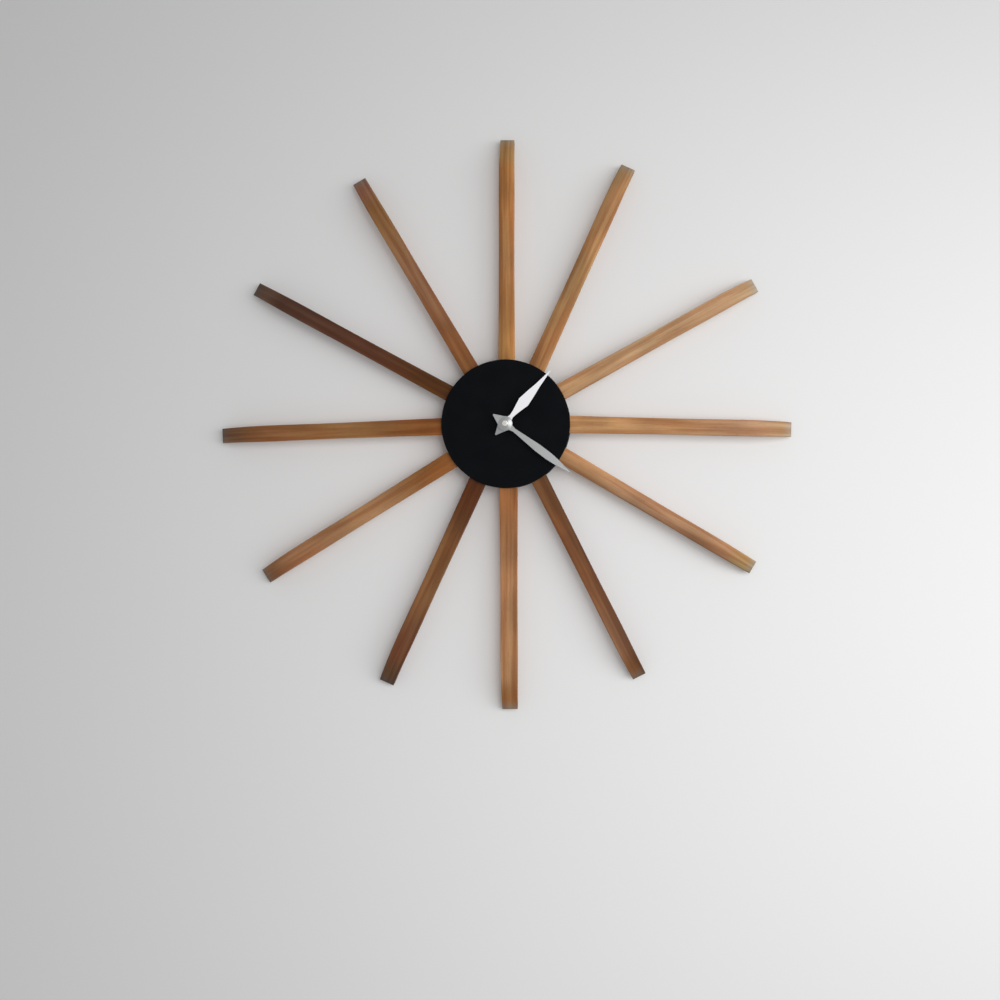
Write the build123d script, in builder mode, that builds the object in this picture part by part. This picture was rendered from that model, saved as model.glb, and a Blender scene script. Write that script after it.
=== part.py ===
"""Sunburst wall clock: twelve bent wooden slats round a black hub, with a battery quartz movement.

Millimetres. +Z is up, +X is right as seen from the room, and the clock faces -Y. The wall is the
plane y = 0, and the origin is the point of the wall behind the hands' common axis. "Depth" means
the distance from the wall into the room, so a piece at depth d lies at y = -d. Places across the
clock are (x, z) pairs, and a heading runs clockwise from twelve as seen from the room.
"""

import os
from math import atan, atan2, cos, degrees, hypot, radians, sin

from build123d import *

os.makedirs("parts", exist_ok=True)

# ---------------------------------------------------------------- hub
HUB_R = 67.0                # dial and rear hub
REAR_HUB = 13.0             # thickness of the rear hub, which hangs flat on the wall
HUB_CHAMFER = 1.0           # round the rear hub's back
SLAT_THICK = 7.0
DIAL_THICK = 4.0
DIAL_BACK = REAR_HUB + SLAT_THICK
DIAL_FRONT = DIAL_BACK + DIAL_THICK
DIAL_EDGE = 0.6             # rounding of the dial's front edge
POCKET_CORNER = 4.0         # of the square opening for the movement

# ---------------------------------------------------------------- slats
REACH = 301.1               # from the hands' axis to a tip's front corner; rounding it leaves 300
SLAT_ROOT_R = 41.0          # inner end, just clear of the movement's corners
SLAT_ROOT_HALF = 9.0        # half widths: at the root, at three radii (half width, radius), at the tip
SLAT_SIDES = ((8.5, 115.0), (8.15, 185.0), (8.35, 250.0))
SLAT_TIP_HALF = 7.5
BEND_R = 90.0               # of the front face, where the tip bends back towards the wall
BEND_ANGLE = 30.0
SLAT_EDGE = 0.9             # rounding of the two long front edges
SLAT_END_EDGE = 3.0         # rounding of the front edge at the tip

# each slat's heading, how far its centre line misses the axis, and its width beside the rest:
# the slats were sawn and put together by hand, so none of these is quite regular
SLATS = {
    "slat_12": (0.0, 0.5, 0.97),
    "slat_01": (24.3, 5.0, 1.02),
    "slat_02": (61.0, -1.7, 1.0),
    "slat_03": (91.2, -1.1, 1.02),
    "slat_04": (120.5, -1.8, 0.96),
    "slat_05": (153.2, -5.0, 0.97),
    "slat_06": (179.8, -2.3, 1.07),
    "slat_07": (204.6, 2.2, 1.04),
    "slat_08": (238.1, -1.6, 1.04),
    "slat_09": (267.7, 0.1, 1.0),
    "slat_10": (298.5, -0.2, 0.95),
    "slat_11": (329.2, -2.5, 0.98),
}

# ---------------------------------------------------------------- wood screws and hanger
SCREW_RING = 60.0           # radius of the ring of slat screws, one to a slat
SCREW_HEAD_R, SCREW_SHANK_R, SCREW_CORE_R = 3.1, 1.6, 1.2
SCREW_BITE = 4.2            # length in the slat
SCREW_SUNK = 0.3            # head below the surface
SCREW_POINT = 35            # taper of the point, from the axis
SHANK_SPARE = 0.15          # a clearance hole's radius over its shank's
RECESS = (2.8, 0.7, 0.9)    # arm length, arm width and depth of a screw's cross recess
DRILL_SPARE = 0.4           # a pilot hole is this much deeper than its screw
SINK_SPARE = 0.35           # a countersink's rim is this much larger than its head

PLATE_Z = 43.0              # middle of the hanger plate
PLATE_HALF = (22.0, 9.5)    # half width and half height of its recess
PLATE_CORNER = 3.0
PLATE_GAP = 0.2             # between the plate's edge and its recess
PLATE_THICK = 1.0
KEY_ENTRY_Z, KEY_ENTRY_R = 39.5, 4.5
KEY_TOP_Z, KEY_SLOT_R = 47.0, 2.5
NOTCH_HALF, NOTCH_TOP = 6.5, 51.5   # notch above the movement, where the wall screw's head goes
NOTCH_CORNER = 2.5
PLATE_SCREWS = ((-16.5, PLATE_Z), (16.5, PLATE_Z))
PLATE_SCREW_LENGTH = 9.0
PLATE_SCREW_HEAD_R, PLATE_SCREW_SHANK_R, PLATE_SCREW_CORE_R = 2.1, 1.25, 1.0
PLATE_SINK_R, PLATE_HOLE_R = 2.6, 1.4
PLATE_SCREW_SUNK = 0.1

# ---------------------------------------------------------------- hands, as they stand at 1:21
HOUR_HEADING = 40.5
MINUTE_HEADING = 127.0
HAND_THICK = 0.5
HAND_HUB_R = 7.5
HAND_TAIL = 15.5
HAND_TAIL_HALF = 0.6        # half width of the tail's end
TAIL_ROOT = (6.3, 3.4)      # where a side of the tail leaves the hub: across the hand and along it
# one side of each blade from the neck to the tip: half width and distance from the axis
HOUR_BLADE = ((2.0, 10.0), (2.7, 15.5), (5.9, 29.5), (4.2, 42.0), (2.5, 52.5), (0.4, 72.0))
MINUTE_BLADE = ((1.9, 12.0), (2.9, 26.0), (4.1, 42.0), (4.1, 56.0), (3.3, 66.0), (0.4, 85.0))
HOUR_HAND_DEPTH = 29.2      # back face of the blade
HOUR_BOSS = (4.0, 0.5)      # radius and height of the raised ring round the hole
MINUTE_HAND_DEPTH = 30.9
MINUTE_BOSS = (3.0, 0.2)
MINUTE_CONE = (7.2, 3.4, 1.2)   # the coned middle of its front: radius, radius on top, height
PRESS = 0.02                # radial room drawn in a press fit
HAND_NUT = (2.9, 1.6)       # radius and height
HAND_NUT_CHAMFER = 0.5

# ---------------------------------------------------------------- fixing bush, nut and washers
BUSH_R = 4.0                # M8
BUSH_PROUD = 4.4            # how far it stands out of the dial
BUSH_CHAMFER = 0.5
DIAL_HOLE_R = 4.15
RUBBER_R, RUBBER_BORE = 9.0, 4.1
WASHER_R, WASHER_BORE, WASHER_THICK = 6.8, 4.2, 0.5
NUT_FLAT_R, NUT_THICK, NUT_CHAMFER = 5.5, 2.5, 0.4
PIPE_R = 2.55               # hour wheel's pipe
CANNON_R = 1.65             # minute shaft
FLAT_HALF = 1.3             # half the width across the minute shaft's two flats
THREAD_R = 1.3              # minute shaft's threaded end
SECONDS_R = 0.45            # middle arbor

# ---------------------------------------------------------------- movement case and plates
CASE = 56.0                 # width and height
CASE_BACK = 2.5
CASE_FRONT = DIAL_BACK - 1.0
CASE_CORNER, CASE_EDGE = 3.0, 0.8
CASE_WALL = 1.4
CASE_FLOOR = CASE_FRONT - CASE_WALL
CASE_ROOM = 0.7             # between the case and the hub's opening
INSIDE = CASE / 2 - CASE_WALL
COVER_THICK = 1.2
COVER_FRONT = CASE_BACK + COVER_THICK
COVER_SEAT = 0.6            # how far the cover's seat is let into the case's walls
COVER_CORNER = 2.0
GRIPS = (6, 4.0, 2.0, 0.4)  # thumb grooves in the cover: how many, their pitch, width and depth
GRIP_SPAN, GRIP_CORNER = (10.0, 22.0), 0.9      # their span in z, and their ends' rounding
SIGN_X, SIGN_Z = 20.0, -7.6     # middle of the plus sign beside the battery; the minus is at -SIGN_X
SIGN_ARM, SIGN_LINE, SIGN_DEPTH = 1.5, 0.4, 0.3     # half length and half width of a line, and its depth
LIFT_X, LIFT_FRONT = (8.0, 14.0), 4.6   # notches in the top wall where a blade lifts the cover
LIFT_WALL = 0.8
THUMB_R, THUMB_FRONT = 6.5, 8.0     # notch in the lower wall for lifting the battery out
PARTITION_TOP = -9.4        # upper face of the wall between the battery bay and the train
BRIDGE = (4.2, 5.2)         # back and front faces of the train bridge
MID_PLATE = (14.1, 14.9)
PLATE_SIDES = (-25.2, 23.0)
PLATE_LOW = PARTITION_TOP + 0.5
BRIDGE_TOP, MID_PLATE_TOP = 17.6, 18.0
PLATE_ROUND = 2.0           # corner radius of both plates
MID_PLATE_BORE = 2.1        # clears the minute shaft's collar
RUNNING = 0.05              # radial clearance of a pivot, shaft or pipe in its hole
END_SHAKE = 0.1             # gap at each end of an arbor
BLIND = 0.8                 # depth of the setting arbor's hole in the case floor

# posts moulded in the case: three carry the plates, two the stator, two the circuit board
PLATE_POSTS = ((-22.5, -5.5), (20.0, -4.0), (-3.0, 15.5))
STATOR_POSTS = ((3.0, 21.5), (20.0, 21.5))
BOARD_POSTS = ((-22.5, 21.5), (-11.0, 21.5))
POST_R, POST_WAIST_R, PIN_R = 2.0, 1.5, 0.8
PIN_PROUD = 0.4             # how far a pin stands through what it carries

# ---------------------------------------------------------------- wheels
TRAIN_CENTRES = 9.0         # from the middle axis to the third, intermediate and motion axes
LEAVES = 8                  # teeth of each small pinion of the train
ROTOR_TEETH, INTERMEDIATE_TEETH, ROTOR_MODULE = 8, 48, 0.22
SECOND_TEETH, THIRD_TEETH, CENTRE_TEETH = 40, 64, 60
CANNON_TEETH, MOTION_TEETH = 12, 36
MOTION_LEAVES, HOUR_TEETH = 10, 40
SECOND_MODULE = 2 * TRAIN_CENTRES / (SECOND_TEETH + LEAVES)
THIRD_MODULE = 2 * TRAIN_CENTRES / (THIRD_TEETH + LEAVES)
CENTRE_MODULE = 2 * TRAIN_CENTRES / (CENTRE_TEETH + LEAVES)
MOTION_MODULE = 2 * TRAIN_CENTRES / (CANNON_TEETH + MOTION_TEETH)
HOUR_MODULE = 2 * TRAIN_CENTRES / (MOTION_LEAVES + HOUR_TEETH)

# tooth form: straight flanks, in parts of the module and of the tooth pitch
ADDENDUM, DEDENDUM = 0.95, 1.3
TIP_SHARE, ROOT_SHARE = 0.10, 0.27
ROTOR_PHASE = 10.0

# arbors, and each wheel's back and front faces
PIVOT_R = 0.35
ARBOR_R = 0.6
SHOULDER_GAP = 0.15         # between an arbor's shoulder and the bridge
PIVOT_BACK = BRIDGE[0] + END_SHAKE
SHOULDER_BACK = BRIDGE[1] + SHOULDER_GAP
SHOULDER_FRONT = MID_PLATE[0] - END_SHAKE
PIVOT_FRONT = MID_PLATE[1] - END_SHAKE
MAGNET, MAGNET_R, MAGNET_BORE = (5.8, 7.8), 3.0, 0.9
ROTOR_PINION, ROTOR_ARBOR_R = (8.2, 10.0), 0.5
INTERMEDIATE_WHEEL, INTERMEDIATE_PINION_END = (8.6, 9.4), 11.2
SECOND_WHEEL, SECOND_PINION_END, SECOND_HUB_R = (10.0, 10.8), 12.6, 0.9
SECONDS_END, SECONDS_CHAMFER = 34.1, 0.1
THIRD_WHEEL, THIRD_PINION_END = (11.4, 12.2), 13.8
CENTRE_WHEEL = (12.95, 13.65)
CENTRE_HOLES = (5, 5.0, 1.5)        # how many, the radius of their ring, and their own radius
CANNON_BACK, CANNON_COLLAR_R = 12.75, 2.0
CANNON_PINION = (15.1, 16.0)
MOTION_WHEEL, MOTION_PINION_END = (15.15, 15.95), 17.2
MOTION_POST_R = 0.8
HOUR_WHEEL, PIPE_END = (16.3, 17.1), 30.0
SHOULDER = MINUTE_HAND_DEPTH - MINUTE_BOSS[1]
CLUTCH, CLUTCH_R = (13.68, 13.88), 3.4
CLUTCH_NOTCHES = (3, 3.6, 1.1)      # how many, the radius of their ring, and their own radius
SETTING_R = 0.8                     # arbor of the setting knob
KNOB, KNOB_R, KNOB_WEB = (0.4, 2.4), 7.0, 0.6
KNOB_GROOVES = (24, 7.35, 0.7)      # how many, the radius of their ring, and their own radius

# ---------------------------------------------------------------- stepping motor and circuit
STATOR, CORE = (6.3, 7.3), (7.3, 8.3)
LEGS, LEG_TOP = ((1.0, 5.0), (18.0, 22.0)), 23.5
BAR_HALF = 3.5              # half height of the stator's bar, and of the core's bar and lugs
CORE_HALF, LUG_HALF = 1.0, 2.0
IRON_CORNER = 0.5
ROTOR_ROOM = 0.3            # between the magnet and the stator
BOBBIN, FLANGE_THICK, FLANGE_R = (5.6, 17.4), 1.0, 3.4
TUBE_R, WINDING_R = 1.7, 3.0
TUBE_HOLE = (1.1, 2.1)
BOARD = (6.0, 6.8)          # back and front faces of the circuit board
BOARD_X, BOARD_Z = (-25.9, -7.5), (13.4, 25.3)
CHIP_PLACE, CHIP_R, CHIP_HEIGHT, CHIP_ROUND = (-17.5, 17.0), 2.2, 1.1, 0.8
CRYSTAL_PLACE, CRYSTAL_R, CRYSTAL_LENGTH = (-14.6, 15.2), 1.0, 6.2

# ---------------------------------------------------------------- battery and its contacts
BATTERY_DEPTH, BATTERY_Z, BATTERY_R = 10.3, -18.6, 7.1
BATTERY_X, BATTERY_EDGE, NUB_R = (-24.6, 24.5), 0.5, 2.6
BAY_R, BAY_SHIFT = 7.7, 0.3
STRIP, STRIP_THICK = (6.0, 11.2), 0.3
STRIP_X = INSIDE - 0.45
STRIP_SLOT_X, STRIP_SLOT_FRONT = 25.4, 13.0
STRIP_TOP = BOARD_Z[1] + STRIP_THICK / 2
POSITIVE_LOW = -24.0        # lower end of the positive strip
POSITIVE_LAP = 4.0          # how far it reaches over the board's edge
# the negative strip, from its upper end round its foot to the end of its spring, as (x, z)
NEGATIVE_RUN = ((-STRIP_X, 22.0), (-STRIP_X, -24.5), (0.5 - STRIP_X, -25.0),
                (BATTERY_X[0] - STRIP_THICK / 2, BATTERY_Z), (0.8 - STRIP_X, -13.5))


def polar(start, heading, distance):
    """Point at a distance from another, along a heading clockwise from straight up."""
    angle = radians(heading)
    return start[0] + distance * sin(angle), start[1] + distance * cos(angle)


MIDDLE = (0.0, 0.0)
THIRD_AXIS = polar(MIDDLE, 300, TRAIN_CENTRES)
INTERMEDIATE_AXIS = polar(MIDDLE, 60, TRAIN_CENTRES)
ROTOR_AXIS = polar(INTERMEDIATE_AXIS, 35, ROTOR_MODULE * (ROTOR_TEETH + INTERMEDIATE_TEETH) / 2)
MOTION_AXIS = polar(MIDDLE, 270, TRAIN_CENTRES)
SETTING_AXIS = polar(MOTION_AXIS, 290, TRAIN_CENTRES)


# ---------------------------------------------------------------- planes and small helpers
def facing(depth, at=MIDDLE, heading=0.0):
    """Plane parallel to the wall: local y runs along the heading, and its normal into the room."""
    turn = radians(heading)
    return Plane(origin=(at[0], -depth, at[1]), x_dir=(cos(turn), 0, -sin(turn)), z_dir=(0, -1, 0))


def beside(heading, across=0.0):
    """Plane that holds a heading and the depth: local x runs outwards, local y into the room."""
    turn = radians(heading)
    side = (cos(turn), 0, -sin(turn))
    origin = (across * side[0], 0, across * side[2])
    return Plane(origin=origin, x_dir=(sin(turn), 0, cos(turn)), z_dir=side)


def rod(at, near, far, radius, mode=Mode.ADD):
    """Round bar, or with Mode.SUBTRACT a hole, between two depths in the part being built."""
    with BuildSketch(facing(near, at)) as section:
        Circle(radius)
    extrude(section.sketch, amount=far - near, mode=mode)


def slab(x_range, z_range, near, far, corner=0.0, mode=Mode.ADD):
    """Flat block between two depths, with rounded corners where corner isn't zero."""
    middle = (sum(x_range) / 2, sum(z_range) / 2)
    width, height = x_range[1] - x_range[0], z_range[1] - z_range[0]
    with BuildSketch(facing(near, middle)) as section:
        if corner:
            RectangleRounded(width, height, corner)
        else:
            Rectangle(width, height)
    extrude(section.sketch, amount=far - near, mode=mode)


def toothed(at, near, far, teeth, module, phase):
    """Ring of straight-flanked teeth on a solid disc, between two depths in the part being built.

    phase is the heading, anticlockwise from +X, of the middle of one tooth.
    """
    pitch = 360 / teeth
    tip = module * (teeth / 2 + ADDENDUM)
    root = module * (teeth / 2 - DEDENDUM)
    tooth = ((root, -ROOT_SHARE), (tip, -TIP_SHARE), (tip, TIP_SHARE), (root, ROOT_SHARE))
    corners = []
    for count in range(teeth):
        for radius, share in tooth:
            angle = radians(phase + pitch * (count + share))
            corners.append((radius * cos(angle), radius * sin(angle)))
    with BuildSketch(facing(near, at)) as outline:
        with BuildLine():
            Polyline(*corners, close=True)
        make_face()
    extrude(outline.sketch, amount=far - near)


def ring_of_holes(at, near, far, count, ring_r, hole_r):
    """Evenly spaced round holes on a ring, between two depths in the part being built."""
    with BuildSketch(facing(near, at)) as holes:
        with PolarLocations(ring_r, count):
            Circle(hole_r)
    extrude(holes.sketch, amount=far - near, mode=Mode.SUBTRACT)


def in_mesh(at, teeth, phase, other_at, other_teeth):
    """Phase at which a second wheel's tooth gap takes the first wheel's tooth."""
    line = degrees(atan2(other_at[1] - at[1], other_at[0] - at[0]))
    return line + 180 + 180 / other_teeth - (phase - line) * teeth / other_teeth


def finish(piece, name):
    """Name a finished piece and write it to its own file."""
    piece.part.label = name
    export_step(piece.part, f"parts/{name}.step")


# ---------------------------------------------------------------- slats
def screw_place(heading, across):
    """Where a slat's screw goes in, on the slat's own centre line."""
    return polar(polar(MIDDLE, heading, SCREW_RING), heading + 90, across)


def at_front_tip(edge, front_tip):
    """Whether an edge runs across the slat at its front tip, given as (distance out, depth)."""
    middle = edge.center()
    return abs(middle.Y + front_tip[1]) < SLAT_EDGE and abs(hypot(middle.X, middle.Z) - REACH) < SLAT_EDGE


def slat(heading, across, breadth):
    """Wooden slat: flat at the hub, slightly waisted, and bent back towards the wall at its tip."""
    bend = radians(BEND_ANGLE)
    inner_r = BEND_R - SLAT_THICK
    bend_start = REACH - BEND_R * sin(bend)
    front_tip = (REACH, DIAL_BACK - BEND_R * (1 - cos(bend)))
    back_tip = (bend_start + inner_r * sin(bend), REAR_HUB - inner_r * (1 - cos(bend)))
    with BuildPart() as piece:
        with BuildSketch(beside(heading, across)):
            with BuildLine():
                Polyline((bend_start, REAR_HUB), (SLAT_ROOT_R, REAR_HUB),
                         (SLAT_ROOT_R, DIAL_BACK), (bend_start, DIAL_BACK))
                RadiusArc((bend_start, DIAL_BACK), front_tip, BEND_R)
                Line(front_tip, back_tip)
                RadiusArc((bend_start, REAR_HUB), back_tip, inner_r)
            make_face()
        extrude(amount=2 * SLAT_ROOT_HALF, both=True)
        root = (SLAT_ROOT_HALF * breadth, SLAT_ROOT_R)
        waist = [(half * breadth, radius) for half, radius in SLAT_SIDES]
        tip = (SLAT_TIP_HALF * breadth, REACH)
        with BuildSketch(facing(0, polar(MIDDLE, heading + 90, across), heading)):
            with BuildLine():
                side = Spline(root, *waist, tip)
                mirror(side, about=Plane.YZ)
                Line((-root[0], root[1]), root)
                Line(tip, (-tip[0], tip[1]))
            make_face()
        extrude(amount=DIAL_BACK, mode=Mode.INTERSECT)
        rod(screw_place(heading, across), REAR_HUB, REAR_HUB + SCREW_BITE + DRILL_SPARE,
            SCREW_CORE_R + RUNNING, Mode.SUBTRACT)
        tip_edge = piece.edges().filter_by(
            lambda edge: SLAT_ROOT_HALF < edge.length < BEND_R / 2 and at_front_tip(edge, front_tip))
        fillet(tip_edge, SLAT_END_EDGE)
        front_edges = piece.edges().filter_by(
            lambda edge: edge.length > BEND_R / 3 and edge.center().Y < -REAR_HUB - SLAT_THICK / 4)
        fillet(front_edges, SLAT_EDGE)
    return piece


for name, place in SLATS.items():
    finish(slat(*place), name)


# ---------------------------------------------------------------- rear hub, dial and fastenings
def countersunk_screw(at, head, shank_end, point, core_r, shank_r, head_r):
    """Flat-head wood screw with a cross recess; head, shank_end and point are depths."""
    with BuildPart() as screw:
        rod(at, head, shank_end, shank_r)
        rod(at, shank_end, point - core_r, core_r)
        with BuildSketch(facing(point - core_r, at)) as end:
            Circle(core_r)
        extrude(end.sketch, amount=core_r, taper=SCREW_POINT)
        countersink(at, head, head_r, head_r - shank_r, Mode.ADD)
        for turn in (0, 90):
            with BuildSketch(facing(head, at, turn)) as slot:
                Rectangle(RECESS[0], RECESS[1])
            extrude(slot.sketch, amount=RECESS[2], mode=Mode.SUBTRACT)
    return screw


def countersink(at, depth, radius, height, mode=Mode.SUBTRACT):
    """Cone of 90 degrees that narrows into the room, in the part being built."""
    with BuildSketch(facing(depth, at)) as rim:
        Circle(radius)
    extrude(rim.sketch, amount=height, taper=45, mode=mode)


with BuildPart() as rear_hub:
    rod(MIDDLE, 0, REAR_HUB, HUB_R)
    chamfer(rear_hub.edges().filter_by(GeomType.CIRCLE).group_by(Axis.Y)[-1], HUB_CHAMFER)
    opening = CASE / 2 + CASE_ROOM
    slab((-opening, opening), (-opening, opening), 0, REAR_HUB, POCKET_CORNER, Mode.SUBTRACT)
    slab((-PLATE_HALF[0], PLATE_HALF[0]), (PLATE_Z - PLATE_HALF[1], PLATE_Z + PLATE_HALF[1]),
         0, PLATE_THICK, PLATE_CORNER, Mode.SUBTRACT)
    slab((-NOTCH_HALF, NOTCH_HALF), (0, NOTCH_TOP), 0, REAR_HUB, NOTCH_CORNER, Mode.SUBTRACT)
    for place in PLATE_SCREWS:
        rod(place, 0, PLATE_SCREW_LENGTH + DRILL_SPARE, PLATE_SCREW_CORE_R + RUNNING, Mode.SUBTRACT)
    for heading, across, _ in SLATS.values():
        place = screw_place(heading, across)
        rod(place, 0, REAR_HUB, SCREW_SHANK_R + SHANK_SPARE, Mode.SUBTRACT)
        countersink(place, 0, SCREW_HEAD_R + SINK_SPARE, SCREW_HEAD_R - SCREW_SHANK_R + PLATE_GAP)
finish(rear_hub, "rear_hub")

with BuildPart() as slat_screws:
    for heading, across, _ in SLATS.values():
        add(countersunk_screw(screw_place(heading, across), SCREW_SUNK, REAR_HUB - SCREW_SUNK,
                              REAR_HUB + SCREW_BITE, SCREW_CORE_R, SCREW_SHANK_R, SCREW_HEAD_R).part)
finish(slat_screws, "slat_screws")

with BuildPart() as hanger_plate:
    slab((PLATE_GAP - PLATE_HALF[0], PLATE_HALF[0] - PLATE_GAP),
         (PLATE_Z - PLATE_HALF[1] + PLATE_GAP, PLATE_Z + PLATE_HALF[1] - PLATE_GAP),
         0, PLATE_THICK, PLATE_CORNER - PLATE_GAP)
    rod((0, KEY_ENTRY_Z), 0, PLATE_THICK, KEY_ENTRY_R, Mode.SUBTRACT)
    rod((0, KEY_TOP_Z), 0, PLATE_THICK, KEY_SLOT_R, Mode.SUBTRACT)
    slab((-KEY_SLOT_R, KEY_SLOT_R), (KEY_ENTRY_Z, KEY_TOP_Z), 0, PLATE_THICK, mode=Mode.SUBTRACT)
    for place in PLATE_SCREWS:
        rod(place, 0, PLATE_THICK, PLATE_HOLE_R, Mode.SUBTRACT)
        countersink(place, 0, PLATE_SINK_R, PLATE_THICK - RUNNING)
finish(hanger_plate, "hanger_plate")

with BuildPart() as hanger_screws:
    for place in PLATE_SCREWS:
        add(countersunk_screw(place, PLATE_SCREW_SUNK, PLATE_THICK, PLATE_SCREW_LENGTH,
                              PLATE_SCREW_CORE_R, PLATE_SCREW_SHANK_R, PLATE_SCREW_HEAD_R).part)
finish(hanger_screws, "hanger_screws")

WASHER_FRONT = DIAL_FRONT + WASHER_THICK
NUT_FRONT = WASHER_FRONT + NUT_THICK

with BuildPart() as dial_disc:
    rod(MIDDLE, DIAL_BACK, DIAL_FRONT, HUB_R)
    fillet(dial_disc.edges().group_by(Axis.Y)[0], DIAL_EDGE)
    rod(MIDDLE, DIAL_BACK, DIAL_FRONT, DIAL_HOLE_R, Mode.SUBTRACT)
finish(dial_disc, "dial_disc")

with BuildPart() as rubber_washer:
    rod(MIDDLE, CASE_FRONT, DIAL_BACK, RUBBER_R)
    rod(MIDDLE, CASE_FRONT, DIAL_BACK, RUBBER_BORE, Mode.SUBTRACT)
finish(rubber_washer, "rubber_washer")

with BuildPart() as dial_washer:
    rod(MIDDLE, DIAL_FRONT, WASHER_FRONT, WASHER_R)
    rod(MIDDLE, DIAL_FRONT, WASHER_FRONT, WASHER_BORE, Mode.SUBTRACT)
finish(dial_washer, "dial_washer")

with BuildPart() as dial_nut:
    with BuildSketch(facing(WASHER_FRONT)):
        RegularPolygon(NUT_FLAT_R, 6, major_radius=False)
    extrude(amount=NUT_THICK)
    chamfer(dial_nut.edges().group_by(Axis.Y)[0], NUT_CHAMFER)
    rod(MIDDLE, WASHER_FRONT, NUT_FRONT, BUSH_R + RUNNING, Mode.SUBTRACT)
finish(dial_nut, "dial_nut")

with BuildPart() as fixing_bush:
    rod(MIDDLE, CASE_FLOOR, DIAL_FRONT + BUSH_PROUD, BUSH_R)
    chamfer(fixing_bush.edges().group_by(Axis.Y)[0], BUSH_CHAMFER)
    rod(MIDDLE, CASE_FLOOR, DIAL_FRONT + BUSH_PROUD, PIPE_R + RUNNING, Mode.SUBTRACT)
finish(fixing_bush, "fixing_bush")


# ---------------------------------------------------------------- hands
def hand_outline(depth, heading, blade):
    """Flat hand with a round hub, a blade that swells and tapers, and a short pointed tail."""
    shoulder = HAND_HUB_R / 2
    root_half, root = TAIL_ROOT
    tip_half, length = blade[-1]
    with BuildSketch(facing(depth, MIDDLE, heading)) as outline:
        Circle(HAND_HUB_R)
        with BuildLine():
            side = Polyline((shoulder, shoulder), *blade)
            mirror(side, about=Plane.YZ)
            Line((-shoulder, shoulder), (shoulder, shoulder))
            Line((-tip_half, length), (tip_half, length))
        make_face()
        with BuildLine():
            Polyline((-root_half, -root), (-HAND_TAIL_HALF, -HAND_TAIL),
                     (HAND_TAIL_HALF, -HAND_TAIL), (root_half, -root), close=True)
        make_face()
    return outline.sketch


def flatted(depth, radius, half):
    """Round with two flats, which stand square to the minute hand."""
    with BuildSketch(facing(depth, MIDDLE, MINUTE_HEADING)) as section:
        Circle(radius)
        Rectangle(2 * half, 2 * radius, mode=Mode.INTERSECT)
    return section.sketch


with BuildPart() as hour_hand:
    extrude(hand_outline(HOUR_HAND_DEPTH, HOUR_HEADING, HOUR_BLADE), amount=HAND_THICK)
    boss_back = HOUR_HAND_DEPTH - HOUR_BOSS[1]
    rod(MIDDLE, boss_back, HOUR_HAND_DEPTH, HOUR_BOSS[0])
    rod(MIDDLE, boss_back, HOUR_HAND_DEPTH + HAND_THICK, PIPE_R + PRESS, Mode.SUBTRACT)
finish(hour_hand, "hour_hand")

MINUTE_HAND_FRONT = MINUTE_HAND_DEPTH + HAND_THICK
HAND_NUT_BACK = MINUTE_HAND_FRONT + MINUTE_CONE[2]
HAND_NUT_FRONT = HAND_NUT_BACK + HAND_NUT[1]

with BuildPart() as minute_hand:
    extrude(hand_outline(MINUTE_HAND_DEPTH, MINUTE_HEADING, MINUTE_BLADE), amount=HAND_THICK)
    rod(MIDDLE, SHOULDER, MINUTE_HAND_DEPTH, MINUTE_BOSS[0])
    cone_base, cone_top, cone_height = MINUTE_CONE
    with BuildSketch(facing(MINUTE_HAND_FRONT)) as base:
        Circle(cone_base)
    extrude(base.sketch, amount=cone_height, taper=degrees(atan((cone_base - cone_top) / cone_height)))
    extrude(flatted(SHOULDER, CANNON_R + PRESS, FLAT_HALF + PRESS),
            amount=HAND_NUT_BACK - SHOULDER, mode=Mode.SUBTRACT)
finish(minute_hand, "minute_hand")

with BuildPart() as hand_nut:
    rod(MIDDLE, HAND_NUT_BACK, HAND_NUT_FRONT, HAND_NUT[0])
    chamfer(hand_nut.edges().group_by(Axis.Y)[0], HAND_NUT_CHAMFER)
    rod(MIDDLE, HAND_NUT_BACK, HAND_NUT_FRONT, THREAD_R + RUNNING, Mode.SUBTRACT)
finish(hand_nut, "hand_nut")


# ---------------------------------------------------------------- movement case and plates
BAY_TOP = BATTERY_Z + BAY_R

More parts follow.
